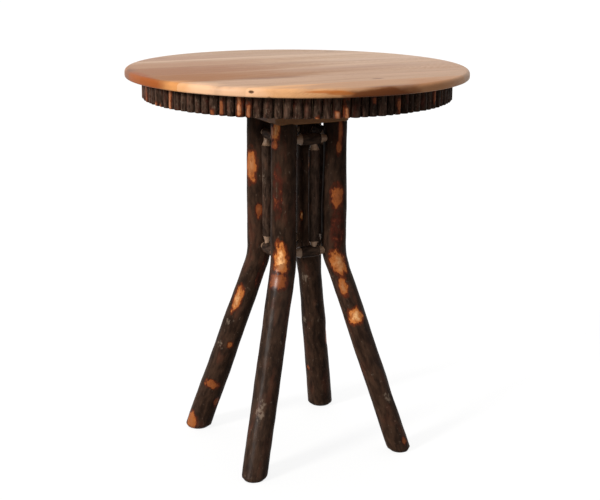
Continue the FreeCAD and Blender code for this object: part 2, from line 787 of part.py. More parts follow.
def top_body():
    """The whole round top, with its two edges rounded."""
    body = doc.addObject("PartDesign::Body", "top_blank")
    sketch = add_sketch(body, "XY_Plane")
    sketch.addGeometry(Part.Circle(Vector(), UP, float(top_radius)))
    sketch.addConstraint(Sketcher.Constraint("Coincident", 0, 3, -1, 1))
    number = sketch.addConstraint(Sketcher.Constraint("Radius", 0, float(top_radius)))
    sketch.setExpression("Constraints[%d]" % number, top_radius.formula)
    pad = body.newObject("PartDesign::Pad", "top_pad")
    pad.Profile = sketch
    bind(pad, Length=size("top_thickness"))
    doc.recompute()
    base = pad
    middle = float(size("top_thickness")) / 2
    for name, radius, is_edge in (
            ("top_upper_edge", size("top_upper_round"), lambda box: box.ZMin > middle),
            ("top_lower_edge", size("top_lower_round"), lambda box: box.ZMax < middle)):
        rim = [index for index, edge in enumerate(base.Shape.Edges, start=1)
               if is_edge(edge.BoundBox) and edge.Length > top_radius]
        rim = [index for index in rim if base.Shape.Edges[index - 1].BoundBox.ZLength < middle]
        rounding = body.newObject("PartDesign::Fillet", name)
        outermost = max(rim, key=lambda index: base.Shape.Edges[index - 1].BoundBox.XMax)
        rounding.Base = (base, ["Edge%d" % outermost])
        bind(rounding, Radius=radius)
        doc.recompute()
        base = rounding
    place(body, 0, 0, underside)
    return body


top_blank = top_body()
joints = [top_radius * share for share in [-1.0] + BOARD_JOINT_SHARES + [1.0]]
for number, (low, high) in enumerate(zip(joints, joints[1:]), start=1):
    strip = doc.addObject("Part::Box", "board_strip_%d" % number)
    bind(strip, Length=top_radius * 2, Width=high - low, Height=size("top_thickness"))
    place(strip, -top_radius, low, underside)
    board = doc.addObject("Part::Common", "board_blank_%d" % number)
    board.Base = top_blank
    board.Tool = strip
    name = "top_board_%d" % number
    keep(name, drilled(name, board, bearer_screw_holes + block_screw_holes))


# Checks before anything is written

doc.recompute()
for item in doc.Objects:
    for state in ("Invalid", "Error"):
        if state in item.State:
            raise RuntimeError("%s is in state %s" % (item.Name, state))
for name, piece in PIECES.items():
    if piece.Shape.isNull() or not piece.Shape.isValid():
        raise RuntimeError("%s has no valid shape" % name)
    if not piece.Shape.Solids or min(solid.Volume for solid in piece.Shape.Solids) <= 0:
        raise RuntimeError("%s is not made of solids" % name)

os.makedirs("parts", exist_ok=True)
for name, piece in PIECES.items():
    piece.Shape.exportStep(os.path.join("parts", name + ".step"))
    print("%-24s %3d solids %12.1f mm3" % (name, len(piece.Shape.Solids), piece.Shape.Volume))
print("%d nodes" % len(PIECES))
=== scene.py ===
import math
import random

import bpy
from mathutils import Matrix, Vector, noise


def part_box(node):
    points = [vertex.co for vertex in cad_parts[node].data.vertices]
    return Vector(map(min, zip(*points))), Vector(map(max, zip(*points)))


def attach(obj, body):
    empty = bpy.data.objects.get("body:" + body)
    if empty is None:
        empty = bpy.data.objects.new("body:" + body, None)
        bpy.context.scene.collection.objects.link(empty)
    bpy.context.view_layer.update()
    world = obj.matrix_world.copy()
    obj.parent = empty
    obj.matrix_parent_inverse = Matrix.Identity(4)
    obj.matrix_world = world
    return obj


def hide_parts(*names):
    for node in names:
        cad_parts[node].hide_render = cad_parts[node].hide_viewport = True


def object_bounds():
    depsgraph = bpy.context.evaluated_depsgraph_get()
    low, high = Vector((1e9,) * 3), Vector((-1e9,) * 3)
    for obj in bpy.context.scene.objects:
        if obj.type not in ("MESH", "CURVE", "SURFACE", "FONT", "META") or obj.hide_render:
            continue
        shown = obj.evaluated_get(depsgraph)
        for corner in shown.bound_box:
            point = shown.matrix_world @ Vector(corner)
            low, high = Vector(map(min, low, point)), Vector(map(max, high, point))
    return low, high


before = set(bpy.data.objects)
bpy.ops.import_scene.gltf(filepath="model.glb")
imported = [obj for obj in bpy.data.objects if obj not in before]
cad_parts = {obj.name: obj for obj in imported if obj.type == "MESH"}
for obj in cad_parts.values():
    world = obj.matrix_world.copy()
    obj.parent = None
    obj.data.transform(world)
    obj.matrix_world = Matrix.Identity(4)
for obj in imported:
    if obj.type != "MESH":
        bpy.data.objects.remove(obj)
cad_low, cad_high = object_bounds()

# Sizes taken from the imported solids, in metres

BOARD_NAMES = ["top_board_%d" % number for number in range(1, 7)]
TWIG_SET_NAMES = ["apron_twigs_%d" % number for number in range(1, 7)]
CORNERS = {"front_left": (-1, -1), "front_right": (1, -1),
           "back_left": (-1, 1), "back_right": (1, 1)}
FACES = {"front": -90, "right": 0, "back": 90, "left": 180}

top_radius = cad_high.x
top_level = cad_high.z
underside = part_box("top_board_1")[0].z
apron_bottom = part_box("apron_twigs_1")[0].z
post_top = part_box("cap_board")[0].z

# Values of the part's source that no box of a solid gives

TOP_UPPER_ROUND = 0.010
TOP_LOWER_ROUND = 0.005
RING_RADIUS = 0.4022
TWIG_DEPTH = 0.011
TWIG_GAP = 0.0005
TWIG_WIDTH_SHARES = [1.06, 0.93, 1.12, 0.88, 1.0, 1.17, 0.9, 0.97, 1.08,
                     0.85, 1.02, 1.14, 0.94, 0.98, 1.1, 0.87, 1.03, 0.96]
RING_START_ANGLE = 15.0
SEGMENT_ANGLE = 60.0
POST_OFFSET = 0.0764
POST_DIAMETERS = {"front_left": 0.068, "front_right": 0.063,
                  "back_left": 0.069, "back_right": 0.069}
BEND_HEIGHT = 0.543
BEND_RADIUS = 0.155
FOOT_CIRCLE_RADIUS = 0.302
FOOT_ROUND = 0.008
POST_TURNS = {"front_left": -5.5, "front_right": 6.5, "back_left": 1.0, "back_right": 4.0}
POST_BEND_SHARES = {"front_left": 1.0, "front_right": 1.04, "back_left": 1.0, "back_right": 1.0}
POST_FOOT_SHARES = {"front_left": 0.97, "front_right": 1.01, "back_left": 0.993,
                    "back_right": 0.957}
RUNG_RADIUS = 0.016
RUNG_TENON_RADIUS = 0.010
RUNG_CONE = 0.016
SPINDLE_RADIUS = 0.0145
SPINDLE_TENON_RADIUS = 0.008
SPINDLE_CONE = 0.013
SPINDLE_TENON = 0.014


# Modelling helpers

def only(piece):
    """Leaves one object selected and active."""
    bpy.ops.object.select_all(action="DESELECT")
    piece.select_set(True)
    bpy.context.view_layer.objects.active = piece


def added(operator, name, **sizes):
    """The object of a primitive, named, with nothing else selected."""
    bpy.ops.object.select_all(action="DESELECT")
    operator(**sizes)
    piece = bpy.context.object
    piece.name = piece.data.name = name
    return piece


def copied(piece, name):
    """A copy of a piece with its own mesh."""
    copy = piece.copy()
    copy.data = piece.data.copy()
    copy.name = copy.data.name = name
    bpy.context.scene.collection.objects.link(copy)
    return copy


def pick(piece, kind, wanted):
    """Opens a piece in edit mode with just the parts selected that pass a test."""
    mesh = piece.data
    only(piece)
    bpy.ops.object.mode_set(mode="EDIT")
    bpy.ops.mesh.select_mode(type=kind)
    bpy.ops.mesh.select_all(action="DESELECT")
    bpy.ops.object.mode_set(mode="OBJECT")
    if kind == "FACE":
        for face in mesh.polygons:
            face.select = wanted(face.center, face.normal)
    elif kind == "EDGE":
        for edge in mesh.edges:
            a, b = (mesh.vertices[index].co for index in edge.vertices)
            edge.select = wanted((a + b) / 2, b - a)
    else:
        for vertex in mesh.vertices:
            vertex.select = wanted(vertex.co, vertex.normal)
    bpy.ops.object.mode_set(mode="EDIT")


def close_edit():
    bpy.ops.object.mode_set(mode="OBJECT")


def edit(piece, kind, wanted, operator, **settings):
    """Runs one edit-mode operator on the parts of a piece that pass a test."""
    pick(piece, kind, wanted)
    operator(**settings)
    close_edit()


def apply_place(piece):
    """Puts the place, turn and scale of an object into its mesh."""
    only(piece)
    bpy.ops.object.transform_apply(location=True, rotation=True, scale=True)


def modify(piece, kind, **settings):
    """Adds a modifier and applies it."""
    only(piece)
    modifier = piece.modifiers.new(kind.lower(), kind)
    for key, value in settings.items():
        setattr(modifier, key, value)
    bpy.ops.object.modifier_apply(modifier=modifier.name)


def smooth(piece, angle):
    only(piece)
    bpy.ops.object.shade_smooth_by_angle(angle=math.radians(angle))


def joined(pieces, name):
    """One piece out of several."""
    only(pieces[0])
    for piece in pieces[1:]:
        piece.select_set(True)
    bpy.ops.object.join()
    pieces[0].name = pieces[0].data.name = name
    return pieces[0]


def linked(name, data=None):
    """A new object in the scene."""
    thing = bpy.data.objects.new(name, data)
    bpy.context.scene.collection.objects.link(thing)
    return thing


def removed(thing):
    bpy.data.objects.remove(thing)


def dress(piece, node, slot, *materials):
    """Gives a finished piece its materials and the body it rides on, and hides the imported solid
    of its node; the slot is not used.
    """
    for material in materials:
        piece.data.materials.append(material)
    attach(piece, "root")
    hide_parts(node)


def set_attribute(piece, name, values):
    """Stores one number or one vector per vertex."""
    if isinstance(values[0], tuple):
        attribute = piece.data.attributes.new(name, "FLOAT_VECTOR", "POINT")
        attribute.data.foreach_set("vector", [number for vector in values for number in vector])
    else:
        piece.data.attributes.new(name, "FLOAT", "POINT").data.foreach_set("value", values)


def set_weights(piece, name, weights):
    """A vertex group from one weight per vertex."""
    group = piece.vertex_groups.new(name=name)
    for index, weight in enumerate(weights):
        if weight > 0:
            group.add([index], weight, "REPLACE")


# Node helpers

def feed(socket, value):
    """Links a value to a socket if it is one itself, and else sets it there as a constant."""
    if isinstance(value, bpy.types.NodeSocket):
        socket.id_data.links.new(value, socket)
    else:
        socket.default_value = value


def node(tree, kind, inputs=None, **settings):
    """A shader node with its settings, its constants and its links."""
    made = tree.nodes.new("ShaderNode" + kind)
    for key, value in settings.items():
        setattr(made, key, value)
    for key, value in (inputs or {}).items():
        feed(made.inputs[key], value)
    return made


def placed(kind, inputs, **settings):
    """The outputs of a node that stands in the tree its inputs come from."""
    tree = next(value.id_data for value in inputs.values()
                if isinstance(value, bpy.types.NodeSocket))
    return node(tree, kind, inputs, **settings).outputs


def maths(operation, *values):
    """The result of a Math node."""
    return placed("Math", dict(enumerate(values)), operation=operation)["Value"]


def times(first, second):
    return maths("MULTIPLY", first, second)


def times_plus(value, factor, base):
    """A value times a factor, on top of a base."""
    return maths("MULTIPLY_ADD", value, factor, base)


def varied(base, clouds, amount):
    """A base raised and lowered by noise about its mean."""
    return times_plus(maths("SUBTRACT", clouds, 0.5), amount, base)


def vectors(operation, *values, result="Vector"):
    """The result of a Vector Math node."""
    return placed("VectorMath", dict(enumerate(values)), operation=operation)[result]


def resized(vector, scale):
    """A vector times a number."""
    return placed("VectorMath", {0: vector, "Scale": scale}, operation="SCALE")["Vector"]


def clouds_at(place, stretch, detail=3.0, roughness=0.5, offset=(0, 0, 0)):
    """Noise of one feature to a unit, after a stretch along each axis and a shift."""
    spot = vectors("MULTIPLY_ADD", place, stretch, offset)
    return placed("TexNoise", {"Vector": spot, "Scale": 1.0, "Detail": detail,
                               "Roughness": roughness})


def cloudy(*where):
    """Noise from 0 to 1."""
    return clouds_at(*where)["Fac"]


def fade(value, low, high, start=0.0, end=1.0):
    """A smooth step from start to end as a value goes from low to high."""
    return placed("MapRange", {"Value": value, "From Min": low, "From Max": high,
                               "To Min": start, "To Max": end},
                  interpolation_type="SMOOTHSTEP")["Result"]


def blended(factor, first, second, mode="MIX"):
    """Two colours mixed by a factor."""
    return placed("Mix", {0: factor, 6: first, 7: second}, data_type="RGBA", blend_type=mode)[2]


def new_group(name, inputs, outputs):
    """A shader group with named inputs and outputs, and the sockets that it starts from."""
    group = bpy.data.node_groups.new(name, "ShaderNodeTree")
    for way, sockets in (("INPUT", inputs), ("OUTPUT", outputs)):
        for label, kind in sockets.items():
            group.interface.new_socket(label, in_out=way, socket_type="NodeSocket" + kind)
    return group, group.nodes.new("NodeGroupInput").outputs


def close_group(group, **results):
    """Links the results of a group to its outputs."""
    leave = group.nodes.new("NodeGroupOutput").inputs
    for label, value in results.items():
        feed(leave[label], value)
    return group


def use_group(group, inputs):
    """The outputs of a group placed in a material."""
    return placed("Group", inputs, node_tree=group)


def bare_tree(owner):
    """The emptied node tree of a material or a world."""
    owner.use_nodes = True
    owner.node_tree.nodes.clear()
    return owner.node_tree


def new_material(name):
    """A material with only its Principled shader and output, its tree and that shader."""
    material = bpy.data.materials.new(name)
    tree = bare_tree(material)
    shader = node(tree, "BsdfPrincipled")
    node(tree, "OutputMaterial", {"Surface": shader.outputs["BSDF"]})
    return material, tree, shader


def finish_shader(shader, colour, roughness, height, depth, specular=0.5, coat=0.0,
                  coat_roughness=0.1):
    """Feeds the colour, roughness, bump and lacquer of a material."""
    bump = placed("Bump", {"Height": height, "Distance": depth, "Strength": 1.0})
    for key, value in (("Base Color", colour), ("Roughness", roughness),
                       ("Normal", bump["Normal"]), ("Specular IOR Level", specular),
                       ("Coat Weight", coat), ("Coat Roughness", coat_roughness)):
        feed(shader.inputs[key], value)


def srgb(red, green, blue):
    """A colour given in display values, as the linear colour of a socket."""
    def linear(value):
        value /= 255
        return value / 12.92 if value <= 0.04045 else ((value + 0.055) / 1.055) ** 2.4
    return linear(red), linear(green), linear(blue), 1.0


# Effects that more than one material uses

def plank_grain_group():
    """Hickory seen anywhere in a board: rings round a leaning pith, heartwood, fibres, pores."""
    group, entry = new_group(
        "plank_grain",
        {"Place": "Vector", "Pith": "Vector", "Lean": "Vector", "Heart Radius": "Float",
         "Ring Width": "Float", "Offset": "Vector", "Sapwood": "Color", "Heartwood": "Color"},
        {"Color": "Color", "Height": "Float"})
    place = entry["Place"]
    shifted = vectors("ADD", place, entry["Offset"])
    wander = vectors("MULTIPLY_ADD", clouds_at(shifted, (2, 9, 9), 2.0)["Color"],
                     (0.0, 0.05, 0.05), (0.0, -0.025, -0.025))
    leaning = resized(entry["Lean"], placed("SeparateXYZ", {0: place})["X"])
    axis = vectors("ADD", entry["Pith"], leaning)
    away = vectors("ADD", vectors("SUBTRACT", place, axis), wander)
    away = vectors("MULTIPLY", away, (0.0, 1.0, 1.0))
    radius = vectors("LENGTH", away, result="Value")
    radius = times_plus(cloudy(shifted, (6, 90, 90)), 0.004, radius)
    rings = maths("FRACT", maths("DIVIDE", radius, entry["Ring Width"]))
    ring_tone = maths("SUBTRACT", fade(rings, 0.0, 0.85), fade(rings, 0.9, 1.0))
    past = varied(maths("SUBTRACT", radius, entry["Heart Radius"]),
                  cloudy(shifted, (3, 26, 26), 4.0, 0.6, (4, 1, 7)), 0.07)
    heart = fade(past, -0.016, 0.016, 1.0, 0.0)
    fibres = cloudy(shifted, (14, 520, 520), 2.0, 0.6)
    streaks = cloudy(shifted, (2.2, 46, 46), 4.0, 0.6)
    pores = times(fade(cloudy(shifted, (70, 1400, 1400), 1.0), 0.6, 0.68),
                  fade(ring_tone, 0.1, 0.6, 1.0, 0.25))
    tone = times_plus(ring_tone, -0.12, 1.04)
    tone = varied(varied(tone, fibres, 0.22), streaks, 0.55)
    tone = times_plus(pores, -0.22, tone)
    shade = placed("CombineColor", {0: tone, 1: maths("POWER", tone, 1.25),
                                    2: maths("POWER", tone, 1.5)})["Color"]
    colour = blended(heart, entry["Sapwood"], entry["Heartwood"])
    return close_group(group, Color=blended(1.0, colour, shade, "MULTIPLY"),
                       Height=times_plus(pores, -0.7, times(fibres, 0.3)))


def stain_group():
    """A soft-edged spot, streak or knot at a place, drawn out along the boards."""
    group, entry = new_group(
        "wood_stain",
        {"Place": "Vector", "Centre": "Vector", "Half Size": "Vector", "Softness": "Float",
         "Base": "Color", "Stain": "Color", "Strength": "Float"},
        {"Color": "Color"})
    place, softness = entry["Place"], entry["Softness"]
    wander = vectors("MULTIPLY_ADD", clouds_at(place, (14, 40, 40))["Color"],
                     (1.1, 1.1, 1.1), (-0.55, -0.55, -0.55))
    away = vectors("DIVIDE", vectors("SUBTRACT", place, entry["Centre"]), entry["Half Size"])
    reach = vectors("LENGTH", vectors("ADD", away, wander), result="Value")
    mask = fade(reach, maths("SUBTRACT", 1.0, softness), maths("ADD", 1.0, softness), 1.0, 0.0)
    mask = times(mask, entry["Strength"])
    return close_group(group, Color=blended(mask, entry["Base"], entry["Stain"]))


def bark_group():
    """Lacquered hickory bark along a pole: low ridges, soft mottling and small grey flecks."""
    group, entry = new_group(
        "hickory_bark",
        {"Straight": "Vector", "Furrow": "Color", "Ridge": "Color", "Rust": "Color",
         "Fleck": "Color", "Lichen": "Float", "Tone And Painted Shading": "Float", "Scale": "Float"},
        {"Color": "Color", "Height": "Float", "Ridges": "Float"})
    scaled = resized(entry["Straight"], entry["Scale"])
    wander = clouds_at(scaled, (30, 30, 12), 2.0)["Color"]
    bent = vectors("MULTIPLY_ADD", wander, (0.012, 0.012, 0.02), scaled)
    ridges = fade(cloudy(bent, (95, 95, 26), 4.0, 0.55), 0.32, 0.68)
    threads = cloudy(bent, (520, 520, 60), 3.0, 0.6)
    patches = cloudy(bent, (30, 30, 11), 4.0, 0.6, (5, 2, 8))
    spots = cloudy(bent, (130, 130, 80), 3.0, 0.65, (3, 7, 1))
    flecks = fade(times_plus(entry["Lichen"], 0.22, spots), 0.62, 0.80)
    colour = blended(ridges, entry["Furrow"], entry["Ridge"])
    colour = blended(times(fade(patches, 0.52, 0.68), 0.45), colour, entry["Rust"])
    colour = blended(times(flecks, 0.6), colour, entry["Fleck"])
    tone = varied(times_plus(threads, 0.24, 0.88), patches, 1.3)
    # The tone input darkens or lightens the bark: painted shade and light on the posts and twigs,
    # a plain tone on the spindles
    tone = times(tone, times_plus(entry["Tone And Painted Shading"], 0.6, 1.0))
    shade = placed("CombineColor", {0: tone, 1: tone, 2: tone})["Color"]
    return close_group(group, Color=blended(1.0, colour, shade, "MULTIPLY"),
                       Height=times_plus(threads, 0.25, ridges), Ridges=ridges)


def peeled_group():
    """Inner bark where the outer bark is gone: mottled amber, rusty at its ragged rim."""
    group, entry = new_group(
        "peeled_patch",
        {"Straight": "Vector", "Peel": "Float", "Amber": "Color", "Rim": "Color",
         "Pale": "Color", "Bark": "Color"},
        {"Color": "Color", "Mask": "Float", "Height": "Float"})
    place, peel, rim = entry["Straight"], entry["Peel"], entry["Rim"]
    worn = varied(peel, cloudy(place, (76, 76, 44), 3.0, 0.6, (9, 4, 2)), 1.9)
    worn = varied(worn, cloudy(place, (210, 210, 110), 4.0, 0.65), 0.6)
    inside = fade(peel, 0.02, 0.2)
    mask = times(fade(worn, 0.38, 0.58), inside)
    halo = times(fade(worn, 0.05, 0.46), inside)
    grain = cloudy(place, (420, 420, 60), 3.0, 0.6)
    core = varied(fade(worn, 0.50, 0.86), grain, 0.5)
    clouds = cloudy(place, (120, 120, 70), 4.0, 0.6, (1, 8, 5))
    dots = cloudy(place, (300, 300, 190), 2.0, 0.5, (6, 1, 3))
    bare = blended(fade(core, 0.0, 1.0), rim, entry["Amber"])
    bare = blended(fade(clouds, 0.36, 0.50, 0.45, 0.0), bare, rim)
    deep = times(fade(worn, 0.85, 1.55), fade(clouds, 0.40, 0.60, 0.35, 1.0))
    bare = blended(deep, bare, entry["Pale"])
    bare = blended(fade(dots, 0.66, 0.74, 0.0, 0.8), bare, rim)
    bark = blended(times(halo, 0.55), entry["Bark"], rim)
    return close_group(group, Color=blended(mask, bark, bare), Mask=mask, Height=grain)


plank_grain = plank_grain_group()
wood_stain = stain_group()
hickory_bark = bark_group()
peeled_patch = peeled_group()


# Materials; their colours are display values

PLANK_RING_WIDTH = 0.0032
PLANK_ROUGHNESS = 0.4


def object_place(tree):
    return node(tree, "TexCoord").outputs["Object"]


def attribute(tree, name):
    return node(tree, "Attribute", attribute_name=name, attribute_type="GEOMETRY").outputs


def plank_material(name, offset, pith, lean, heart_radius, sapwood, heartwood, stains=()):
    """Satin lacquered hickory. Stains are (centre, half size, softness, colour, strength)."""
    material, tree, shader = new_material(name)
    place = object_place(tree)
    grain = use_group(plank_grain, {
        "Place": place, "Pith": pith, "Lean": lean, "Heart Radius": heart_radius,
        "Ring Width": PLANK_RING_WIDTH, "Offset": offset, "Sapwood": srgb(*sapwood),
        "Heartwood": srgb(*heartwood)})
    colour = grain["Color"]
    for centre, half_size, softness, stain, strength in stains:
        colour = use_group(wood_stain, {
            "Place": place, "Centre": centre, "Half Size": half_size, "Softness": softness,
            "Base": colour, "Stain": srgb(*stain), "Strength": strength})["Color"]
    roughness = times_plus(grain["Height"], -0.12, PLANK_ROUGHNESS)
    finish_shader(shader, colour, roughness, grain["Height"], 0.00008, specular=0.01,
                  coat=0.15, coat_roughness=0.35)
    return material


CREAM = (228, 182, 144)
PINK_TAN = (200, 160, 134)
ORANGE = (148, 76, 30)
AMBER_BROWN = (150, 98, 56)
STREAK = (146, 106, 76)
KNOT = (74, 42, 22)

# Pith and lean of each board in y and z, heart radius, sapwood, heartwood and stains
# The boards' colours run darker and more orange towards the left end of the top and lighter,
# greyer pink to the right: partly the wood's own heartwood and stains, partly a painted sheen
BOARD_WOOD = {
    "top_board_1": ((0, -0.50, 0.95), (0, 0.10, 0.0), 0.134, (213, 160, 112), (104, 56, 22), [
        ((-0.37, -0.36, 1.05), (0.10, 0.06, 0.06), 0.4, CREAM, 0.9),
        ((-0.295, -0.348, 1.058), (0.0065, 0.0065, 0.0036), 0.3, KNOT, 0.9),
        ((-0.262, -0.374, 1.046), (0.004, 0.004, 0.003), 0.4, KNOT, 0.6),
        ((0.04, -0.385, 1.067), (0.22, 0.07, 0.012), 0.5, (168, 129, 101), 0.8),
        ((-0.01, -0.455, 1.050), (0.085, 0.03, 0.014), 0.2, (102, 55, 26), 0.9),
        ((-0.135, -0.433, 1.0600), (0.060, 0.03, 0.0032), 0.4, (176, 102, 48), 0.8),
        ((-0.105, -0.440, 1.0560), (0.030, 0.03, 0.0045), 0.4, (170, 96, 40), 0.8),
        ((0.19, -0.42, 1.048), (0.11, 0.06, 0.03), 0.35, (172, 122, 84), 0.9),
        ((0.31, -0.345, 1.05), (0.12, 0.07, 0.06), 0.5, (172, 130, 100), 0.8),
    ]),
    "top_board_2": ((0, -0.10, 0.985), (0, 0.0, -0.10), 0.128, (182, 147, 121), (172, 134, 106), [
        ((-0.42, -0.26, 1.05), (0.075, 0.085, 0.06), 0.4, CREAM, 0.95),
        ((-0.33, -0.32, 1.052), (0.07, 0.03, 0.02), 0.4, CREAM, 0.8),
        ((-0.412, -0.196, 1.052), (0.030, 0.030, 0.02), 0.8, (212, 154, 100), 0.75),
        ((-0.17, -0.195, 1.067), (0.085, 0.013, 0.03), 0.5, (128, 86, 60), 0.65),
        ((-0.24, -0.345, 1.067), (0.10, 0.020, 0.03), 0.5, (208, 164, 124), 0.7),
        ((0.066, -0.311, 1.067), (0.016, 0.005, 0.02), 0.5, (92, 60, 40), 0.85),
        ((0.22, -0.245, 1.067), (0.15, 0.006, 0.02), 0.5, PINK_TAN, 0.5),
    ]),
    "top_board_3": ((0, -0.12, 0.985), (0, 0.0, -0.13), 0.100, (182, 148, 123), (168, 130, 100), [
        ((-0.46, -0.10, 1.06), (0.34, 0.16, 0.10), 0.6, AMBER_BROWN, 0.95),
        ((-0.455, -0.08, 1.05), (0.022, 0.10, 0.05), 0.4, ORANGE, 0.9),
        ((-0.430, -0.180, 1.05), (0.046, 0.034, 0.03), 0.9, (214, 148, 88), 0.85),
        ((-0.19, -0.182, 1.067), (0.07, 0.008, 0.03), 0.5, (128, 86, 60), 0.6),
        ((-0.16, -0.165, 1.067), (0.13, 0.010, 0.03), 0.5, STREAK, 0.6),
        ((0.12, -0.080, 1.067), (0.20, 0.05, 0.03), 0.6, (168, 132, 108), 0.6),
        ((0.15, -0.075, 1.067), (0.14, 0.006, 0.02), 0.5, STREAK, 0.4),
    ]),
    "top_board_4": ((0, 0.045, 0.975), (0, 0.0, -0.15), 0.115, (191, 159, 135), (174, 138, 110), [
        ((-0.46, 0.03, 1.06), (0.36, 0.20, 0.10), 0.6, (148, 98, 64), 0.88),
        ((-0.458, 0.02, 1.05), (0.030, 0.09, 0.05), 0.4, ORANGE, 0.75),
        ((-0.452, 0.10, 1.055), (0.030, 0.05, 0.03), 0.5, (122, 84, 64), 0.8),
        ((-0.20, 0.02, 1.067), (0.16, 0.008, 0.02), 0.5, STREAK, 0.4),
        ((0.24, 0.060, 1.067), (0.11, 0.005, 0.02), 0.5, STREAK, 0.5),
    ]),
    "top_board_5": ((0, 0.16, 0.98), (0, 0.05, -0.05), 0.10, (196, 164, 138), (184, 148, 118), [
        ((-0.38, 0.165, 1.067), (0.34, 0.075, 0.10), 0.6, (160, 117, 87), 0.75),
        ((-0.44, 0.15, 1.05), (0.030, 0.09, 0.05), 0.4, (150, 104, 76), 0.8),
        ((0.10, 0.20, 1.067), (0.24, 0.007, 0.02), 0.5, STREAK, 0.45),
    ]),
    "top_board_6": ((0, 0.38, 0.97), (0, -0.03, 0.0), 0.11, (180, 148, 123), (176, 142, 114), [
        ((-0.28, 0.31, 1.067), (0.24, 0.06, 0.10), 0.6, (166, 128, 104), 0.8),
        ((0.268, 0.313, 1.067), (0.014, 0.005, 0.02), 0.5, (118, 82, 58), 0.6),
        ((-0.262, 0.325, 1.067), (0.018, 0.006, 0.02), 0.5, (134, 94, 74), 0.6),
    ]),
}


def bark_material(name, furrow, ridge, rust, relief, scale=1.0, gloss=0.42,
                  amber=(190, 114, 56), pale=(238, 186, 130)):
    """Bark under clear lacquer, with peeled patches where the piece is marked for them."""
    material, tree, shader = new_material(name)
    straight = attribute(tree, "straight")["Vector"]
    marks = placed("SeparateXYZ", {0: attribute(tree, "marks")["Vector"]})
    bright = marks["Y"]
    bark = use_group(hickory_bark, {
        "Straight": straight, "Scale": scale, "Lichen": marks["Z"],
        "Tone And Painted Shading": attribute(tree, "tone_and_painted_shading")["Fac"], "Furrow": srgb(*furrow), "Ridge": srgb(*ridge),
        "Rust": srgb(*rust), "Fleck": srgb(122, 106, 92)})
    bare = use_group(peeled_patch, {
        "Straight": straight, "Peel": marks["X"], "Bark": bark["Color"],
        "Amber": blended(bright, srgb(112, 56, 28), srgb(*amber)),
        "Rim": blended(bright, srgb(64, 27, 18), srgb(104, 46, 22)),
        "Pale": blended(fade(bright, 0.3, 1.0), srgb(134, 76, 42), srgb(*pale))})
    mask = bare["Mask"]
    height = times(bark["Height"], maths("SUBTRACT", 1.0, mask))
    height = times_plus(times(bare["Height"], mask), 0.2, height)
    roughness = times_plus(mask, -0.16, times_plus(bark["Ridges"], -0.06, gloss))
    polish = fade(cloudy(straight, (24, 24, 11)), 0.40, 0.60, 0.5, 1.0)
    lacquer = times_plus(polish, attribute(tree, "lacquer")["Fac"],
                         times_plus(mask, 0.08, 0.015))
    finish_shader(shader, bare["Color"], roughness, height, relief, specular=0.01,
                  coat=lacquer, coat_roughness=0.38)
    return material


def shaved_material():
    """Pale wood where a knife has cut a stick down to its tenon."""
    material, tree, shader = new_material("shaved_hickory")
    straight = attribute(tree, "straight")["Vector"]
    fibres = cloudy(straight, (500, 500, 40), 3.0, 0.6)
    facets = cloudy(straight, (110, 110, 40), 2.0)
    colour = blended(fibres, srgb(98, 72, 56), srgb(172, 142, 116))
    colour = blended(fade(facets, 0.5, 0.75, 0.0, 0.5), colour, srgb(88, 58, 42))
    finish_shader(shader, colour, 0.42, times_plus(facets, 2.0, fibres), 0.0003, specular=0.3)
    return material


post_bark = bark_material("post_bark", (36, 25, 19), (60, 43, 33), (70, 39, 28), 0.00015)
stick_bark = bark_material("stick_bark", (34, 25, 20), (64, 49, 40), (66, 43, 32), 0.0002, 1.6)
twig_bark = bark_material("twig_bark", (36, 25, 19), (80, 61, 50), (82, 48, 37),
                          0.0002, 2.0, 0.5, (162, 104, 66), (198, 146, 116))
shaved_wood = shaved_material()


# Top: six boards cut out of one round blank

RIM_SIDES = 360
JOINT_EASE = 0.0005
SLIVER = 0.001
CLOSE = 1e-5


def round_blank():
    """The round top before it is cut into its boards."""
    blank = added(bpy.ops.mesh.primitive_cylinder_add, "top_blank", vertices=RIM_SIDES,
                  radius=top_radius, depth=top_level - underside,
                  location=(0, 0, (top_level + underside) / 2))
    apply_place(blank)
    for level, rounding in ((top_level, TOP_UPPER_ROUND), (underside, TOP_LOWER_ROUND)):
        edit(blank, "EDGE", lambda middle, run: abs(middle.z - level) < CLOSE,
             bpy.ops.mesh.bevel, offset=rounding, segments=6, affect="EDGES")
    return blank


def cut_board(blank, name):
    """One board of the blank, its joint edges eased a little."""
    board = copied(blank, name + "_planed")
    for corner, side in zip(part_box(name), (1, -1)):
        level = corner.y
        if abs(level) < top_radius - SLIVER:
            edit(board, "FACE", lambda middle, normal: True, bpy.ops.mesh.bisect,
                 plane_co=(0, level, 0), plane_no=(0, -side, 0), use_fill=True, clear_outer=True)
            edit(board, "EDGE", lambda middle, run: abs(middle.y - level) < CLOSE
                 and abs(run.z) < CLOSE and abs(middle.z - underside) > SLIVER,
                 bpy.ops.mesh.bevel, offset=JOINT_EASE, segments=2, affect="EDGES")
    return board


KNOT_HOLE = Vector((-0.295, -0.348, 1.058))
KNOT_HALF_LENGTH = 0.0065
KNOT_HALF_HEIGHT = 0.0036
KNOT_DEPTH = 0.0025
KNOT_REACH = 0.013


def open_knot(board):
    """Sinks the small open knot into the edge of the board."""
    edit(board, "FACE", lambda middle, normal: (middle - KNOT_HOLE).length < KNOT_REACH,
         bpy.ops.mesh.subdivide, number_cuts=4)
    weights = []
    for vertex in board.data.vertices:
        away = vertex.co - KNOT_HOLE
        reach = math.hypot(math.hypot(away.x, away.y) / KNOT_HALF_LENGTH,
                           away.z / KNOT_HALF_HEIGHT)
        weights.append(max(0.0, 1 - reach * reach))
    set_weights(board, "knot", weights)
    modify(board, "DISPLACE", strength=-KNOT_DEPTH, mid_level=0.0, vertex_group="knot")
    board.vertex_groups.clear()


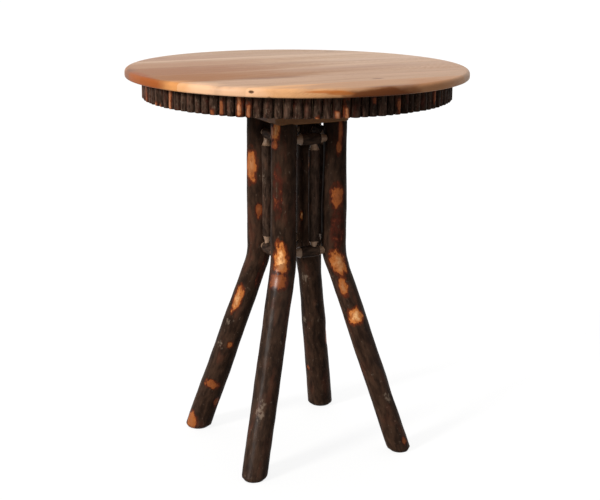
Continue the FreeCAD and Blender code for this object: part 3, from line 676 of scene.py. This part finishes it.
blank = round_blank()
for number, name in enumerate(BOARD_NAMES):
    board = cut_board(blank, name)
    if name == "top_board_1":
        open_knot(board)
    smooth(board, 30)
    wood = plank_material(name + "_hickory", (number * 1.9, 0.0, 0.0), *BOARD_WOOD[name])
    dress(board, name, "boards", wood)
removed(blank)


# Bark relief

def relief_texture(name, size):
    """A cloudy texture for the Displace modifier."""
    texture = bpy.data.textures.new(name, "CLOUDS")
    texture.noise_scale = size
    return texture


swelling = relief_texture("swelling", 0.06)
furrows = relief_texture("furrows", 0.011)
furrows.noise_depth = 2


def roughened(piece, texture, depth, offset, stretch, weights=""):
    """Moves the skin of a straight piece by a texture drawn out along the piece."""
    spot = linked("relief_place")
    spot.matrix_world = Matrix.Translation(offset) @ Matrix.Diagonal((1, 1, stretch, 1))
    bpy.context.view_layer.update()
    modify(piece, "DISPLACE", texture=texture, texture_coords="OBJECT",
           texture_coords_object=spot, strength=depth, mid_level=0.5, vertex_group=weights)
    removed(spot)


def around(angle, degrees, radius):
    """How far round the skin an angle is from a place given in degrees."""
    return radius * ((angle - math.radians(degrees) + math.pi) % math.tau - math.pi)


def patch_share(along, angle, radius, patch):
    """How far inside a patch a point is: 1.7 in the middle, 0.5 at the rim, 0 outside."""
    middle, turn, half_length, half_width = patch[:4]
    step = (along - middle) / half_length
    if abs(step) > 1.8:
        return 0.0
    reach = math.hypot(step, around(angle, turn, radius) / half_width)
    return max(0.0, 0.5 + (1 - reach) * 1.2)


RUBBED_SHARE = 0.44


def mark_skin(piece, radius, patches, lichens=(), offset=0.0, turn=0.0):
    """Stores where each point lay on the straight stick, and the peeled and grey places."""
    places, marks, bare = [], [], []
    for vertex in piece.data.vertices:
        x, y, z = vertex.co
        angle = math.atan2(-y, x) + turn
        peel = amber = lichen = 0.0
        for patch in patches:
            share = patch_share(z, angle, radius, patch)
            if patch[4] < 0:
                share = min(share, RUBBED_SHARE)
            if share > peel:
                peel, amber = share, max(0.0, patch[4])
        for patch in lichens:
            lichen = max(lichen, min(1.0, patch_share(z, angle, radius, patch)))
        places.append((x, y, z + offset))
        marks.append((peel, amber, lichen))
        bare.append(min(1.0, max(0.0, peel * 2 - 0.6)))
    set_attribute(piece, "straight", places)
    set_attribute(piece, "marks", marks)
    set_weights(piece, "bare", bare)
    set_weights(piece, "bark", [1 - share * 0.8 for share in bare])


# Apron: split twigs side by side round the ring

def twig_layout():
    """Middle angle, half width and depth of each twig from the first joint of the ring."""
    spread = SEGMENT_ANGLE / sum(TWIG_WIDTH_SHARES)
    mean = SEGMENT_ANGLE / len(TWIG_WIDTH_SHARES)
    angle = 0.0
    for share in TWIG_WIDTH_SHARES:
        wide = share * spread
        half_width = RING_RADIUS * math.tan(math.radians(wide / 2)) - TWIG_GAP / 2
        depth = min(TWIG_DEPTH * math.sqrt(wide / mean), half_width)
        yield angle + wide / 2, half_width, depth
        angle += wide


TWIG_SIDES = 20
TWIG_CUTS = 7
TWIG_END_EASE = 0.0009
TWIG_FLANK = 0.004
TWIG_FURROWS = 0.0016
TWIG_TILT = 0.4

# Twigs that have lost their bark: angle round the top in degrees, lowest and highest bare
# share of the length, and how bright the wood is
BARE_TWIGS = [
    (-187.5, 0.0, 1.0, 0.1), (-177.4, -0.3, 0.20, 1.0), (-172.2, -0.3, 0.10, 1.0),
    (-167.5, 0.0, 1.0, 0.8), (-147.3, -0.3, 0.25, 0.1), (-143.4, 0.0, 0.75, 0.35),
    (-136.5, 0.0, 0.95, 1.0), (-132.9, 0.0, 0.60, 0.6), (-109.6, -0.3, 0.08, 1.0),
    (-102.5, -0.2, 0.30, 0.7), (-98.9, -0.2, 0.55, 1.0), (-91.4, 0.55, 0.85, 0.0),
    (-80.0, 0.0, 0.6, 0.3), (-59.3, 0.3, 1.0, 0.1),
]
BARE_REACH = 1.5
# Angles of the twigs on the right, turned from the light, whose bark is painted darker: painted
# shade
PAINTED_SHADE_TWIGS = (-97, -20)

# Behind, where the table doesn't tell, a twig loses its bark by chance
HIDDEN_TWIGS = (-45, 167)
BARE_CHANCE = 0.16


def twig_blank():
    """Half a stick of the apron's height, its flat back on the axis."""
    height = underside - apron_bottom
    twig = added(bpy.ops.mesh.primitive_cylinder_add, "twig_blank", vertices=TWIG_SIDES,
                 radius=TWIG_DEPTH, depth=height, location=(0, 0, height / 2))
    apply_place(twig)
    pick(twig, "EDGE", lambda middle, run: abs(run.z) > height / 2)
    bpy.ops.mesh.subdivide(number_cuts=TWIG_CUTS)
    bpy.ops.mesh.select_all(action="SELECT")
    bpy.ops.mesh.bisect(plane_co=(0, 0, 0), plane_no=(1, 0, 0), use_fill=True, clear_inner=True)
    close_edit()
    edit(twig, "EDGE", lambda middle, run: abs(run.z) < CLOSE < middle.x
         and not CLOSE < middle.z < height - CLOSE,
         bpy.ops.mesh.bevel, offset=TWIG_END_EASE, segments=1, affect="EDGES")
    return twig


def turned(angle):
    """An angle in degrees brought between -180 and 180."""
    return (angle + 180) % 360 - 180


def bare_part(angle, chance):
    """The bare length of a twig and its yellowness, from the table or by chance."""
    for bare_angle, low, high, amber in BARE_TWIGS:
        if abs(turned(angle - bare_angle)) < BARE_REACH:
            return low, high, amber
    hidden = HIDDEN_TWIGS[0] <= turned(angle) <= HIDDEN_TWIGS[1]
    if chance.random() < BARE_CHANCE and hidden:
        low = chance.uniform(0.0, 0.4)
        return low, low + chance.uniform(0.25, 0.7), chance.random()
    return 2.0, 2.0, 0.0


def lay_twig(blank, angle, half_width, depth, number, chance):
    """One twig with its own skin, in its place on the ring."""
    twig = copied(blank, "twig")
    low, high, amber = bare_part(angle, chance)
    height = underside - apron_bottom
    lichen = chance.uniform(0.0, 0.4)
    rusty = chance.uniform(0.0, 0.22)
    # Painted light and shade: a twig's crest is painted lighter and its flanks darker towards the
    # gaps between twigs; the twigs on the right are painted darker still
    crest, hollow_painted_shade = chance.uniform(-0.10, 0.60), 1.2
    if PAINTED_SHADE_TWIGS[0] < turned(angle) < PAINTED_SHADE_TWIGS[1]:
        crest, hollow_painted_shade = crest - 0.8, 0.4
    places, marks, tone_and_painted_shading = [], [], []
    for vertex in twig.data.vertices:
        x, y, z = vertex.co
        share = z / height
        flank = abs(y) / TWIG_DEPTH
        edge = noise.noise(Vector((x * 90, y * 90, z * 60 + number * 7)))
        inside = min(min(share - low, high - share) * 6 + edge * 0.8, (0.45 - flank) * 2.2)
        places.append((x, y, z + number * 0.21))
        marks.append((min(1.6, max(rusty, 0.5 + inside)), amber, lichen))
        tone_and_painted_shading.append(crest - hollow_painted_shade * flank * flank)
    set_attribute(twig, "straight", places)
    set_attribute(twig, "marks", marks)
    set_attribute(twig, "tone_and_painted_shading", tone_and_painted_shading)
    set_weights(twig, "crown",
                [min(1.0, vertex.co.x / TWIG_FLANK) for vertex in twig.data.vertices])
    roughened(twig, furrows, TWIG_FURROWS, (number * 0.37, 0, 0), 3.0, "crown")
    twig.vertex_groups.clear()
    turn = math.radians(angle)
    twig.scale = (depth / TWIG_DEPTH, half_width / TWIG_DEPTH, 1)
    twig.rotation_euler = (math.radians(chance.uniform(-TWIG_TILT, TWIG_TILT)), 0, turn)
    twig.location = (RING_RADIUS * math.cos(turn), RING_RADIUS * math.sin(turn), apron_bottom)
    return twig


blank = twig_blank()
twig_chance = random.Random(5)
for segment, name in enumerate(TWIG_SET_NAMES):
    first_angle = RING_START_ANGLE + segment * SEGMENT_ANGLE
    twigs = [lay_twig(blank, first_angle + angle, half_width, depth,
                      segment * len(TWIG_WIDTH_SHARES) + place, twig_chance)
             for place, (angle, half_width, depth) in enumerate(twig_layout())]
    twig_set = joined(twigs, name + "_bark")
    apply_place(twig_set)
    smooth(twig_set, 50)
    dress(twig_set, name, "twig", twig_bark)
removed(blank)


# Posts: bark-on poles, shaped straight, then bent and cut level at the floor

POLE_SIDES = 112
POLE_FIRST_CUTS = 9
POLE_SECOND_CUTS = 27
POLE_LENGTH = 1.02
POLE_SWELLING = 0.0030
POLE_FURROWS = 0.0013
PEEL_DEPTH = 0.0010


class PostCourse:
    """How the axis of a post runs: down the column, round its bend and out to its foot."""

    def __init__(self, name, corner):
        bend_height = BEND_HEIGHT * POST_BEND_SHARES[name]
        self.run = FOOT_CIRCLE_RADIUS * POST_FOOT_SHARES[name] - POST_OFFSET * math.sqrt(2)
        self.slope = self.run / bend_height
        self.splay = math.atan(self.slope)
        self.bend_top = bend_height + BEND_RADIUS * math.tan(self.splay / 2)
        self.column_length = post_top - self.bend_top
        self.bend_length = BEND_RADIUS * self.splay
        self.column = Vector((corner[0], corner[1], 0)) * POST_OFFSET
        self.turn = math.radians(POST_TURNS[name])
        facing = math.atan2(corner[1], corner[0]) + self.turn
        self.outward = Vector((math.cos(facing), math.sin(facing), 0))

    def leg_point(self, level):
        """The middle of the leg at a level below the bend."""
        return self.column + self.outward * (self.run - self.slope * level)


# Peeled patches: distance from the top of the post, turn from outward in degrees, half
# length, half width, and how bright the bare wood is; below 0 the bark is only rubbed
POST_PATCHES = {
    "front_left": [
        (0.016, -20, 0.028, 0.012, 0.7), (0.022, -46, 0.018, 0.012, 0.5),
        (0.052, -30, 0.011, 0.015, 0.0), (0.175, -12, 0.065, 0.013, -1),
        (0.362, 6, 0.050, 0.020, 1.0),
        (0.380, 10, 0.030, 0.020, 0.5), (0.428, 0, 0.024, 0.026, 0.1),
        (0.62, 150, 0.05, 0.02, 0.8), (0.16, 172, 0.04, 0.018, 0.7),
        (0.80, 205, 0.03, 0.016, 0.3), (0.89, 128, 0.024, 0.015, 0.8),
        (0.48, 235, 0.035, 0.013, 0.2),
    ],
    "front_right": [
        (0.028, -45, 0.045, 0.008, 0.0), (0.070, -52, 0.020, 0.008, 0.25),
        (0.201, -58, 0.034, 0.018, 0.25), (0.290, -55, 0.055, 0.016, -1),
        (0.393, -62, 0.042, 0.023, 0.6), (0.458, -78, 0.028, 0.013, 0.5),
        (0.548, -66, 0.025, 0.023, 1.0), (0.935, -27, 0.012, 0.009, 0.1),
        (0.30, 70, 0.045, 0.019, 0.9), (0.66, 120, 0.04, 0.018, 0.5),
        (0.80, 40, 0.05, 0.017, 0.9), (0.12, 150, 0.03, 0.014, 0.6),
        (0.50, 190, 0.03, 0.012, 0.4),
    ],
    "back_left": [
        (0.133, 65, 0.046, 0.021, 0.5), (0.258, 109, 0.020, 0.011, 0.05),
        (0.430, 150, 0.042, 0.010, -1), (0.525, 75, 0.042, 0.015, 0.7),
        (0.667, 120, 0.010, 0.008, 0.4), (0.803, 100, 0.014, 0.022, 0.25),
        (0.858, 155, 0.018, 0.012, 0.1), (0.940, 60, 0.028, 0.022, 0.4),
        (0.36, -20, 0.045, 0.02, 0.9), (0.60, -60, 0.05, 0.019, 0.7),
        (0.76, -15, 0.03, 0.014, 0.3), (0.24, -90, 0.03, 0.013, 0.5),
    ],
    "back_right": [
        (0.286, 166, 0.013, 0.006, 0.9), (0.801, 146, 0.010, 0.008, 0.1),
        (0.14, 20, 0.045, 0.018, 0.9), (0.41, -35, 0.05, 0.02, 1.0),
        (0.56, 30, 0.035, 0.015, 0.4), (0.70, -70, 0.04, 0.018, 0.8),
        (0.88, 15, 0.03, 0.018, 0.6), (0.30, -110, 0.025, 0.011, 0.2),
    ],
}

# Painted shade: how dark the column of a post is painted beside the others, the front right one,
# turned from the light,
# # darkest, the legs painted a little lighter and the top of each post darker where the tabletop
# shades it; and thick runs of
# # lacquer laid out as the patches are
PAINTED_POST_SHADES = {"front_left": -0.05, "front_right": -0.35, "back_left": 0.06, "back_right": 0.0}
LACQUER_RUNS = {"front_left": [(0.424, -14, 0.022, 0.013)]}
LEG_LACQUER = 0.11
RUN_LACQUER = 1.0
LEG_START = 0.05
LEG_SHADE = 0.1
PAINTED_TOP_SHADE = 0.6
PAINTED_TOP_SHADE_LENGTH = 0.13

# Grey places, laid out as the patches are
POST_LICHENS = {
    "front_left": [(0.775, 8, 0.03, 0.012), (0.178, -17, 0.034, 0.0025)],
    "front_right": [(0.62, 60, 0.03, 0.01), (0.80, -40, 0.02, 0.008)],
    "back_left": [(0.603, 73, 0.012, 0.010), (0.676, 71, 0.012, 0.009)],
    "back_right": [(0.47, 170, 0.02, 0.01), (0.62, 150, 0.012, 0.008)],
}

# Stubs of small branches: distance from the top, turn, radius and height
POST_STUBS = {
    "front_left": [(0.41, 0, 0.009, 0.0020), (0.70, 160, 0.012, 0.003)],
    "front_right": [(0.33, -140, 0.010, 0.003), (0.72, 80, 0.012, 0.003)],
    "back_left": [(0.465, -100, 0.012, 0.004), (0.80, 70, 0.010, 0.002)],
    "back_right": [(0.564, -141, 0.008, 0.0035), (0.76, -20, 0.012, 0.003)],
}

# A post is thinner than the source's pole by the waist, and thicker again by these amounts at
# distances from its top, in metres
WAIST = 0.0035
GIRTH_RANGE = 0.007
STUB_RANGE = 0.004
POST_GIRTHS = {
    "front_left": [(0.0, 0.0035), (0.28, 0.0037), (0.36, 0.0048), (0.44, 0.0046),
                   (0.52, 0.0037), (0.96, 0.0038)],
    "front_right": [(0.0, 0.0042), (0.05, 0.0030), (0.12, 0.0035), (0.24, 0.0060), (0.35, 0.0060),
                    (0.42, 0.0012), (0.50, 0.0021), (0.70, 0.0025), (0.95, 0.0030)],
    "back_left": [(0.0, 0.0035), (0.30, 0.0030), (0.42, 0.0013), (0.55, 0.0020),
                  (0.70, 0.0032), (0.82, 0.0043), (0.96, 0.0043)],
    "back_right": [(0.0, 0.0052), (0.05, 0.0036), (0.28, 0.0042), (0.35, 0.0062), (0.41, 0.0058),
                   (0.47, 0.0020), (0.58, 0.0025), (0.65, 0.0045), (0.78, 0.0047),
                   (0.93, 0.0060)],
}


def girth_share(along, girths):
    """The extra thickness at a distance from the top, as a share of the most."""
    for (start, first), (end, second) in zip(girths, girths[1:]):
        if along <= end:
            share = max(0.0, (along - start) / (end - start))
            return (first + (second - first) * share) / GIRTH_RANGE
    return girths[-1][1] / GIRTH_RANGE


def lay_lacquer(post, name, radius, course):
    """Stores the painted shade along a post, darkest at its top under the tabletop, and where its
    lacquer lies thick.
    """
    tone_and_painted_shading, lacquer = [], []
    for vertex in post.data.vertices:
        x, y, along = vertex.co
        angle = math.atan2(-y, x)
        leg = min(1.0, max(0.0, (along - course.column_length) / LEG_START))
        shade = PAINTED_POST_SHADES[name] * (1 - leg) + LEG_SHADE * leg
        # painted shade: the top of each post darkened where the tabletop shades it
        tone_and_painted_shading.append(shade - PAINTED_TOP_SHADE * max(0.0, 1 - along / PAINTED_TOP_SHADE_LENGTH))
        thick = LEG_LACQUER * leg * max(0.0, math.cos(angle))
        for run in LACQUER_RUNS.get(name, ()):
            share = patch_share(along, angle + course.turn, radius, run)
            thick += RUN_LACQUER * min(1.0, share)
        lacquer.append(thick)
    set_attribute(post, "tone_and_painted_shading", tone_and_painted_shading)
    set_attribute(post, "lacquer", lacquer)


def pole_blank():
    """A straight pole along Z, divided into short rings."""
    pole = added(bpy.ops.mesh.primitive_cylinder_add, "pole_blank", vertices=POLE_SIDES,
                 radius=0.5, depth=POLE_LENGTH, location=(0, 0, POLE_LENGTH / 2))
    apply_place(pole)
    for cuts in (POLE_FIRST_CUTS, POLE_SECOND_CUTS):
        edit(pole, "EDGE", lambda middle, run: abs(run.z) > CLOSE,
             bpy.ops.mesh.subdivide, number_cuts=cuts)
    return pole


def raise_stubs(piece, radius, stubs, turn):
    """Swells the skin round the stubs of cut branches."""
    weights = []
    for vertex in piece.data.vertices:
        angle = math.atan2(-vertex.co.y, vertex.co.x) + turn
        share = 0.0
        for along, degrees, size, height in stubs:
            reach = math.hypot((vertex.co.z - along) / 1.4, around(angle, degrees, radius)) / size
            if reach < 2:
                share = max(share, math.exp(-2.5 * reach * reach) * height / STUB_RANGE)
        weights.append(share)
    set_weights(piece, "stubs", weights)
    modify(piece, "DISPLACE", strength=STUB_RANGE, mid_level=0.0, vertex_group="stubs")


def cut_foot(post, course, radius):
    """Cuts a post level above the floor and rounds it down to the floor."""
    pick(post, "FACE", lambda middle, normal: True)
    bpy.ops.mesh.bisect(plane_co=(0, 0, FOOT_ROUND), plane_no=(0, 0, 1), clear_inner=True)
    level, width = FOOT_ROUND, radius
    for degrees in (20, 40, 60, 78, 90):
        turn = math.radians(degrees)
        next_level = FOOT_ROUND * (1 - math.sin(turn))
        next_width = radius - FOOT_ROUND * (1 - math.cos(turn))
        step = course.leg_point(next_level) - course.leg_point(level)
        bpy.ops.mesh.extrude_region_move(
            TRANSFORM_OT_translate={"value": (step.x, step.y, next_level - level)})
        centre = course.leg_point(next_level)
        share = next_width / width
        bpy.ops.transform.resize(value=(share, share, 1),
                                 center_override=(centre.x, centre.y, next_level))
        level, width = next_level, next_width
    bpy.ops.mesh.edge_face_add()
    bpy.ops.mesh.select_all(action="SELECT")
    bpy.ops.mesh.normals_make_consistent(inside=False)
    close_edit()


def shaped_post(blank, number, name, corner):
    """One post from the blank: skin, girth, bend, place and foot."""
    radius = POST_DIAMETERS[name] / 2
    course = PostCourse(name, corner)
    post = copied(blank, "post_" + name + "_pole")
    post.scale = ((radius - WAIST) * 2, (radius - WAIST) * 2, 1)
    apply_place(post)
    mark_skin(post, radius, POST_PATCHES[name], POST_LICHENS[name], number * 1.7, course.turn)
    lay_lacquer(post, name, radius, course)
    roughened(post, swelling, POLE_SWELLING, (number * 0.9, 0, 0), 2.2)
    roughened(post, furrows, POLE_FURROWS, (number * 0.53, 0, 0), 4.0, "bark")
    modify(post, "DISPLACE", strength=-PEEL_DEPTH, mid_level=0.0, vertex_group="bare")
    set_weights(post, "girth", [girth_share(vertex.co.z, POST_GIRTHS[name])
                                for vertex in post.data.vertices])
    modify(post, "DISPLACE", strength=GIRTH_RANGE, mid_level=0.0, vertex_group="girth")
    raise_stubs(post, radius, POST_STUBS[name], course.turn)
    post.vertex_groups.clear()
    post.location = (0, 0, -course.column_length)
    apply_place(post)
    heights = [vertex.co.z for vertex in post.data.vertices]
    low, reach = min(heights), max(heights) - min(heights)
    modify(post, "SIMPLE_DEFORM", deform_method="BEND", deform_axis="Y", angle=course.splay,
           limits=((0 - low) / reach, (course.bend_length - low) / reach))
    across = course.outward.cross(Vector((0, 0, 1)))
    axes = Matrix((course.outward, across, (0, 0, -1))).transposed().to_4x4()
    post.matrix_world = Matrix.Translation(
        course.column + Vector((0, 0, course.bend_top))) @ axes
    apply_place(post)
    cut_foot(post, course, radius)
    smooth(post, 60)
    return post


blank = pole_blank()
for number, (name, corner) in enumerate(CORNERS.items()):
    post = shaped_post(blank, number, name, corner)
    dress(post, "post_" + name, "bark_pole", post_bark)
removed(blank)


# Rungs and spindles: bark-on sticks with shaved ends

STICK_SIDES = 48
STICK_RING = 0.004
STICK_SWELLING = 0.0024
STICK_FURROWS = 0.0012
END_MARGIN = 0.002
END_FADE = 0.006
BARK_THICKNESS = 0.0014
BARK_LIP = 0.0004
RUNG_BELLY = 0.0545
RUNG_TENON = 0.018
SPINDLE_TENON_SHOWN = 0.010

# Peeled and grey places: distance from the middle, turn, half length, half width, yellowness
SPINDLE_PATCHES = {
    "front": [(0.09, 120, 0.02, 0.007, 0.8)],
    "right": [(-0.06, 60, 0.03, 0.008, 0.7), (0.08, -140, 0.012, 0.006, 0.2)],
    "back": [(0.05, 90, 0.035, 0.009, 0.9), (-0.09, 20, 0.015, 0.006, 0.5)],
    "left": [(-0.02, 130, 0.02, 0.006, 0.6)],
}
SPINDLE_LICHENS = {
    "front": [(0.03, -100, 0.03, 0.006), (-0.04, -60, 0.02, 0.005)],
    "right": [(0.06, 30, 0.02, 0.005)],
    "back": [(-0.05, -20, 0.02, 0.006)],
    "left": [(0.034, -20, 0.014, 0.007), (-0.10, 40, 0.02, 0.006)],
}
SPINDLE_TONES = {"front": -0.05, "right": 0.0, "back": 0.0, "left": 0.22}


def stick_blank(name, radius, tenon_radius, cone, tenon, belly):
    """A stick along Z about its middle, with a cone and a tenon drawn out at each end."""
    stick = added(bpy.ops.mesh.primitive_cylinder_add, name, vertices=STICK_SIDES,
                  radius=radius, depth=belly)
    edit(stick, "EDGE", lambda middle, run: abs(run.z) > belly / 2,
         bpy.ops.mesh.subdivide, number_cuts=round(belly / STICK_RING))
    shoulder = radius - BARK_THICKNESS
    for side in (-1, 1):
        pick(stick, "FACE", lambda middle, normal: normal.z * side > 0.9)
        width = radius
        for share in (0, 1 / 3, 2 / 3, 1):
            rise = (cone - BARK_LIP) / 3 if share else BARK_LIP
            bpy.ops.mesh.extrude_region_move(
                TRANSFORM_OT_translate={"value": (0, 0, side * rise)})
            next_width = shoulder - (shoulder - tenon_radius) * share ** 0.9
            shrink = next_width / width
            bpy.ops.transform.resize(value=(shrink, shrink, 1),
                                     center_override=(0, 0, side * belly / 2))
            width = next_width
        bpy.ops.mesh.extrude_region_move(TRANSFORM_OT_translate={"value": (0, 0, side * tenon)})
        close_edit()
    for face in stick.data.polygons:
        face.material_index = int(abs(face.center.z) > belly / 2 + CLOSE)
    return stick


def shaped_stick(blank, name, number, radius, belly, patches=(), lichens=(), tone=0.0, bow=0):
    """One stick from its blank with its own skin and a slight bow."""
    stick = copied(blank, name)
    mark_skin(stick, radius, patches, lichens, 9.0 + number * 1.3)
    set_attribute(stick, "tone_and_painted_shading", [tone] * len(stick.data.vertices))
    edge = belly / 2 + END_MARGIN
    set_weights(stick, "belly", [min(1.0, max(0.0, (edge - abs(vertex.co.z)) / END_FADE))
                                 for vertex in stick.data.vertices])
    roughened(stick, swelling, STICK_SWELLING, (0.3 + number * 0.7, 5, 0), 1.5, "belly")
    roughened(stick, furrows, STICK_FURROWS, (0.1 + number * 0.41, 5, 0), 3.0, "belly")
    stick.vertex_groups.clear()
    if bow:
        modify(stick, "SIMPLE_DEFORM", deform_method="BEND", deform_axis="Y",
               angle=math.radians(bow))
    return stick


def finish_stick(stick, node_name):
    apply_place(stick)
    smooth(stick, 50)
    dress(stick, node_name, "bark_stick", stick_bark, shaved_wood)


blank = stick_blank("rung_blank", RUNG_RADIUS, RUNG_TENON_RADIUS, RUNG_CONE, RUNG_TENON,
                    RUNG_BELLY)
for face_number, (face, degrees) in enumerate(FACES.items()):
    for level_number, level in enumerate(("upper", "lower")):
        node_name = "%s_rung_%s" % (level, face)
        low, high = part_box(node_name)
        rung = shaped_stick(blank, node_name + "_stick", face_number * 2 + level_number,
                            RUNG_RADIUS, RUNG_BELLY)
        rung.rotation_euler = (0, math.radians(90), math.radians(degrees + 90))
        rung.location = (low + high) / 2
        finish_stick(rung, node_name)
removed(blank)

SPINDLE_LEANS = {"front": 0.4, "right": -0.6, "back": 0.5, "left": 1.3}
SPINDLE_BOWS = {"front": 1.5, "right": -2.0, "back": 2.5, "left": 1.5}
low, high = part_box("spindle_front")
spindle_belly = high.z - low.z - (SPINDLE_TENON + SPINDLE_CONE) * 2
blank = stick_blank("spindle_blank", SPINDLE_RADIUS, SPINDLE_TENON_RADIUS, SPINDLE_CONE,
                    SPINDLE_TENON_SHOWN, spindle_belly)
for face_number, (face, degrees) in enumerate(FACES.items()):
    node_name = "spindle_" + face
    low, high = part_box(node_name)
    spindle = shaped_stick(blank, node_name + "_stick", 20 + face_number, SPINDLE_RADIUS,
                           spindle_belly, SPINDLE_PATCHES[face], SPINDLE_LICHENS[face],
                           SPINDLE_TONES[face], SPINDLE_BOWS[face])
    spindle.rotation_euler = (math.radians(SPINDLE_LEANS[face]), 0, math.radians(degrees))
    spindle.location = (low + high) / 2
    finish_stick(spindle, node_name)
removed(blank)


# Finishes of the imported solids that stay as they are

def sawn_material(name, degrees, offset):
    """Bare sawn hardwood with its grain turned to a direction."""
    material, tree, shader = new_material(name)
    place = placed("Mapping", {"Vector": object_place(tree),
                               "Rotation": (0, 0, math.radians(-degrees))})[0]
    grain = use_group(plank_grain, {
        "Place": place, "Pith": (0, 0.3, 0.7), "Lean": (0, 0.1, 0.05), "Heart Radius": 0.2,
        "Ring Width": 0.0035, "Offset": offset, "Sapwood": srgb(206, 176, 138),
        "Heartwood": srgb(176, 138, 100)})
    height = times_plus(cloudy(place, (900, 30, 30), 2.0), 0.6, grain["Height"])
    finish_shader(shader, grain["Color"], 0.72, height, 0.0003, specular=0.2)
    return material


def steel_material(name, *colour):
    """Small hardware with a worn plating."""
    material, tree, shader = new_material(name)
    cloud = cloudy(object_place(tree), (300, 300, 300), 4.0, 0.6)
    bright = srgb(*colour)
    shade = blended(fade(cloud, 0.35, 0.7), bright, [part * 0.7 for part in bright[:3]] + [1.0])
    finish_shader(shader, shade, times_plus(cloud, 0.3, 0.3), cloud, 0.00004)
    shader.inputs["Metallic"].default_value = 1.0
    return material


def redress(material, *node_names):
    """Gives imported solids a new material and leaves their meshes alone."""
    for node_name in node_names:
        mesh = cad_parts[node_name].data
        mesh.materials.clear()
        mesh.materials.append(material)


# The cap board's hickory is painted dark brown: painted shade for its place in the dark under the
# apron
redress(plank_material("cap_board_hickory_painted_shade", (1.3, 0.4, 0.2), (0, 0.02, 0.90), (0, 0.1, 0.0), 0.06,
                       (110, 75, 46), (84, 54, 34)), "cap_board")
redress(sawn_material("bearer_x_hardwood", 0, (0.2, 0, 0)), "bearer_x")
redress(sawn_material("bearer_y_hardwood", 90, (0.9, 0, 0)), "bearer_y")
redress(sawn_material("block_hardwood", 0, (2.1, 0, 0)), "apron_blocks")
for segment in range(6):
    direction = RING_START_ANGLE + segment * SEGMENT_ANGLE + 120.0
    redress(sawn_material("ring_hardwood_%d" % (segment + 1), direction, (segment * 0.7, 0, 0)),
            "apron_ring_%d" % (segment + 1))
redress(steel_material("zinc_plated_steel", 186, 188, 186), "post_lags", "lag_washers",
        "cap_screws", "bearer_screws", "block_screws")
redress(steel_material("drawn_steel", 150, 148, 146), "tenon_nails", "twig_brads")


# Floor, light and camera

def seen_directly(tree):
    """Whether a ray comes from the camera, straight or by way of a mirror or glass."""
    rays = node(tree, "LightPath").outputs
    return maths("MAXIMUM", rays["Is Camera Ray"],
                 maths("MAXIMUM", rays["Is Glossy Ray"], rays["Is Transmission Ray"]))


FLOOR_SIZE = 200
FLOOR_LEVEL = -0.0002


def pale_floor():
    """A plain floor that is white to the camera and keeps the shadow of the table."""
    floor = added(bpy.ops.mesh.primitive_plane_add, "studio_floor", size=FLOOR_SIZE,
                  location=(0, 0, FLOOR_LEVEL))
    material = bpy.data.materials.new("studio_floor_paint")
    tree = bare_tree(material)
    paint = node(tree, "BsdfDiffuse", {"Color": (0.35, 0.35, 0.35, 1)}).outputs[0]
    shown = node(tree, "BsdfDiffuse", {"Color": (0.16, 0.16, 0.16, 1)}).outputs[0]
    glow = node(tree, "Emission", {"Color": (1, 1, 1, 1), "Strength": 0.87}).outputs[0]
    both = placed("AddShader", {0: shown, 1: glow})[0]
    surface = placed("MixShader", {0: seen_directly(tree), 1: paint, 2: both})[0]
    node(tree, "OutputMaterial", {"Surface": surface})
    floor.data.materials.append(material)


def soft_light(name, azimuth, elevation, strength, spread, colour=(1, 1, 1)):
    """A distant soft lamp from a side, the same all over the floor."""
    data = bpy.data.lights.new(name, "SUN")
    data.energy = strength
    data.angle = math.radians(spread)
    data.color = colour
    side, up = math.radians(azimuth), math.radians(elevation)
    towards = Vector((math.cos(side) * math.cos(up), math.sin(side) * math.cos(up),
                      math.sin(up)))
    linked(name, data).rotation_euler = towards.to_track_quat("Z", "Y").to_euler()


def studio_world(strength):
    """White behind the table, dimmer as light."""
    world = bpy.data.worlds.new("studio_world")
    bpy.context.scene.world = world
    tree = bare_tree(world)
    level = placed("MapRange", {"Value": seen_directly(tree), "To Min": strength, "To Max": 1.0})
    sky = node(tree, "Background", {"Color": (1, 1, 1, 1), "Strength": level[0]})
    node(tree, "OutputWorld", {"Surface": sky.outputs[0]})


CAMERA_PLACE = Vector((-1.5222, -3.0070, 1.4520))
CAMERA_HEADING = math.radians(26.85)
CAMERA_PITCH = math.radians(14.811)
CAMERA_ROLL = 0.006666
CAMERA_LENS = 75.54
CAMERA_SHIFT = 0.006645


def studio_camera():
    """The camera of the photograph's view."""
    data = bpy.data.cameras.new("studio_camera")
    data.lens = CAMERA_LENS
    data.sensor_width = 36.0
    data.shift_x = CAMERA_SHIFT
    data.clip_end = 500
    camera = linked("studio_camera", data)
    level = math.cos(CAMERA_PITCH)
    facing = Vector((math.sin(CAMERA_HEADING) * level, math.cos(CAMERA_HEADING) * level,
                     -math.sin(CAMERA_PITCH)))
    turned = facing.to_track_quat("-Z", "Y").to_matrix().to_4x4()
    camera.matrix_world = (Matrix.Translation(CAMERA_PLACE) @ turned
                           @ Matrix.Rotation(CAMERA_ROLL, 4, "Z"))
    bpy.context.scene.camera = camera


pale_floor()
studio_world(0.40)
soft_light("key_light", -165, 21, 3.35, 12, (1.0, 0.97, 0.93))
soft_light("top_light", 60, 78, 1.1, 60)
studio_camera()
bpy.context.scene.view_settings.view_transform = "Standard"
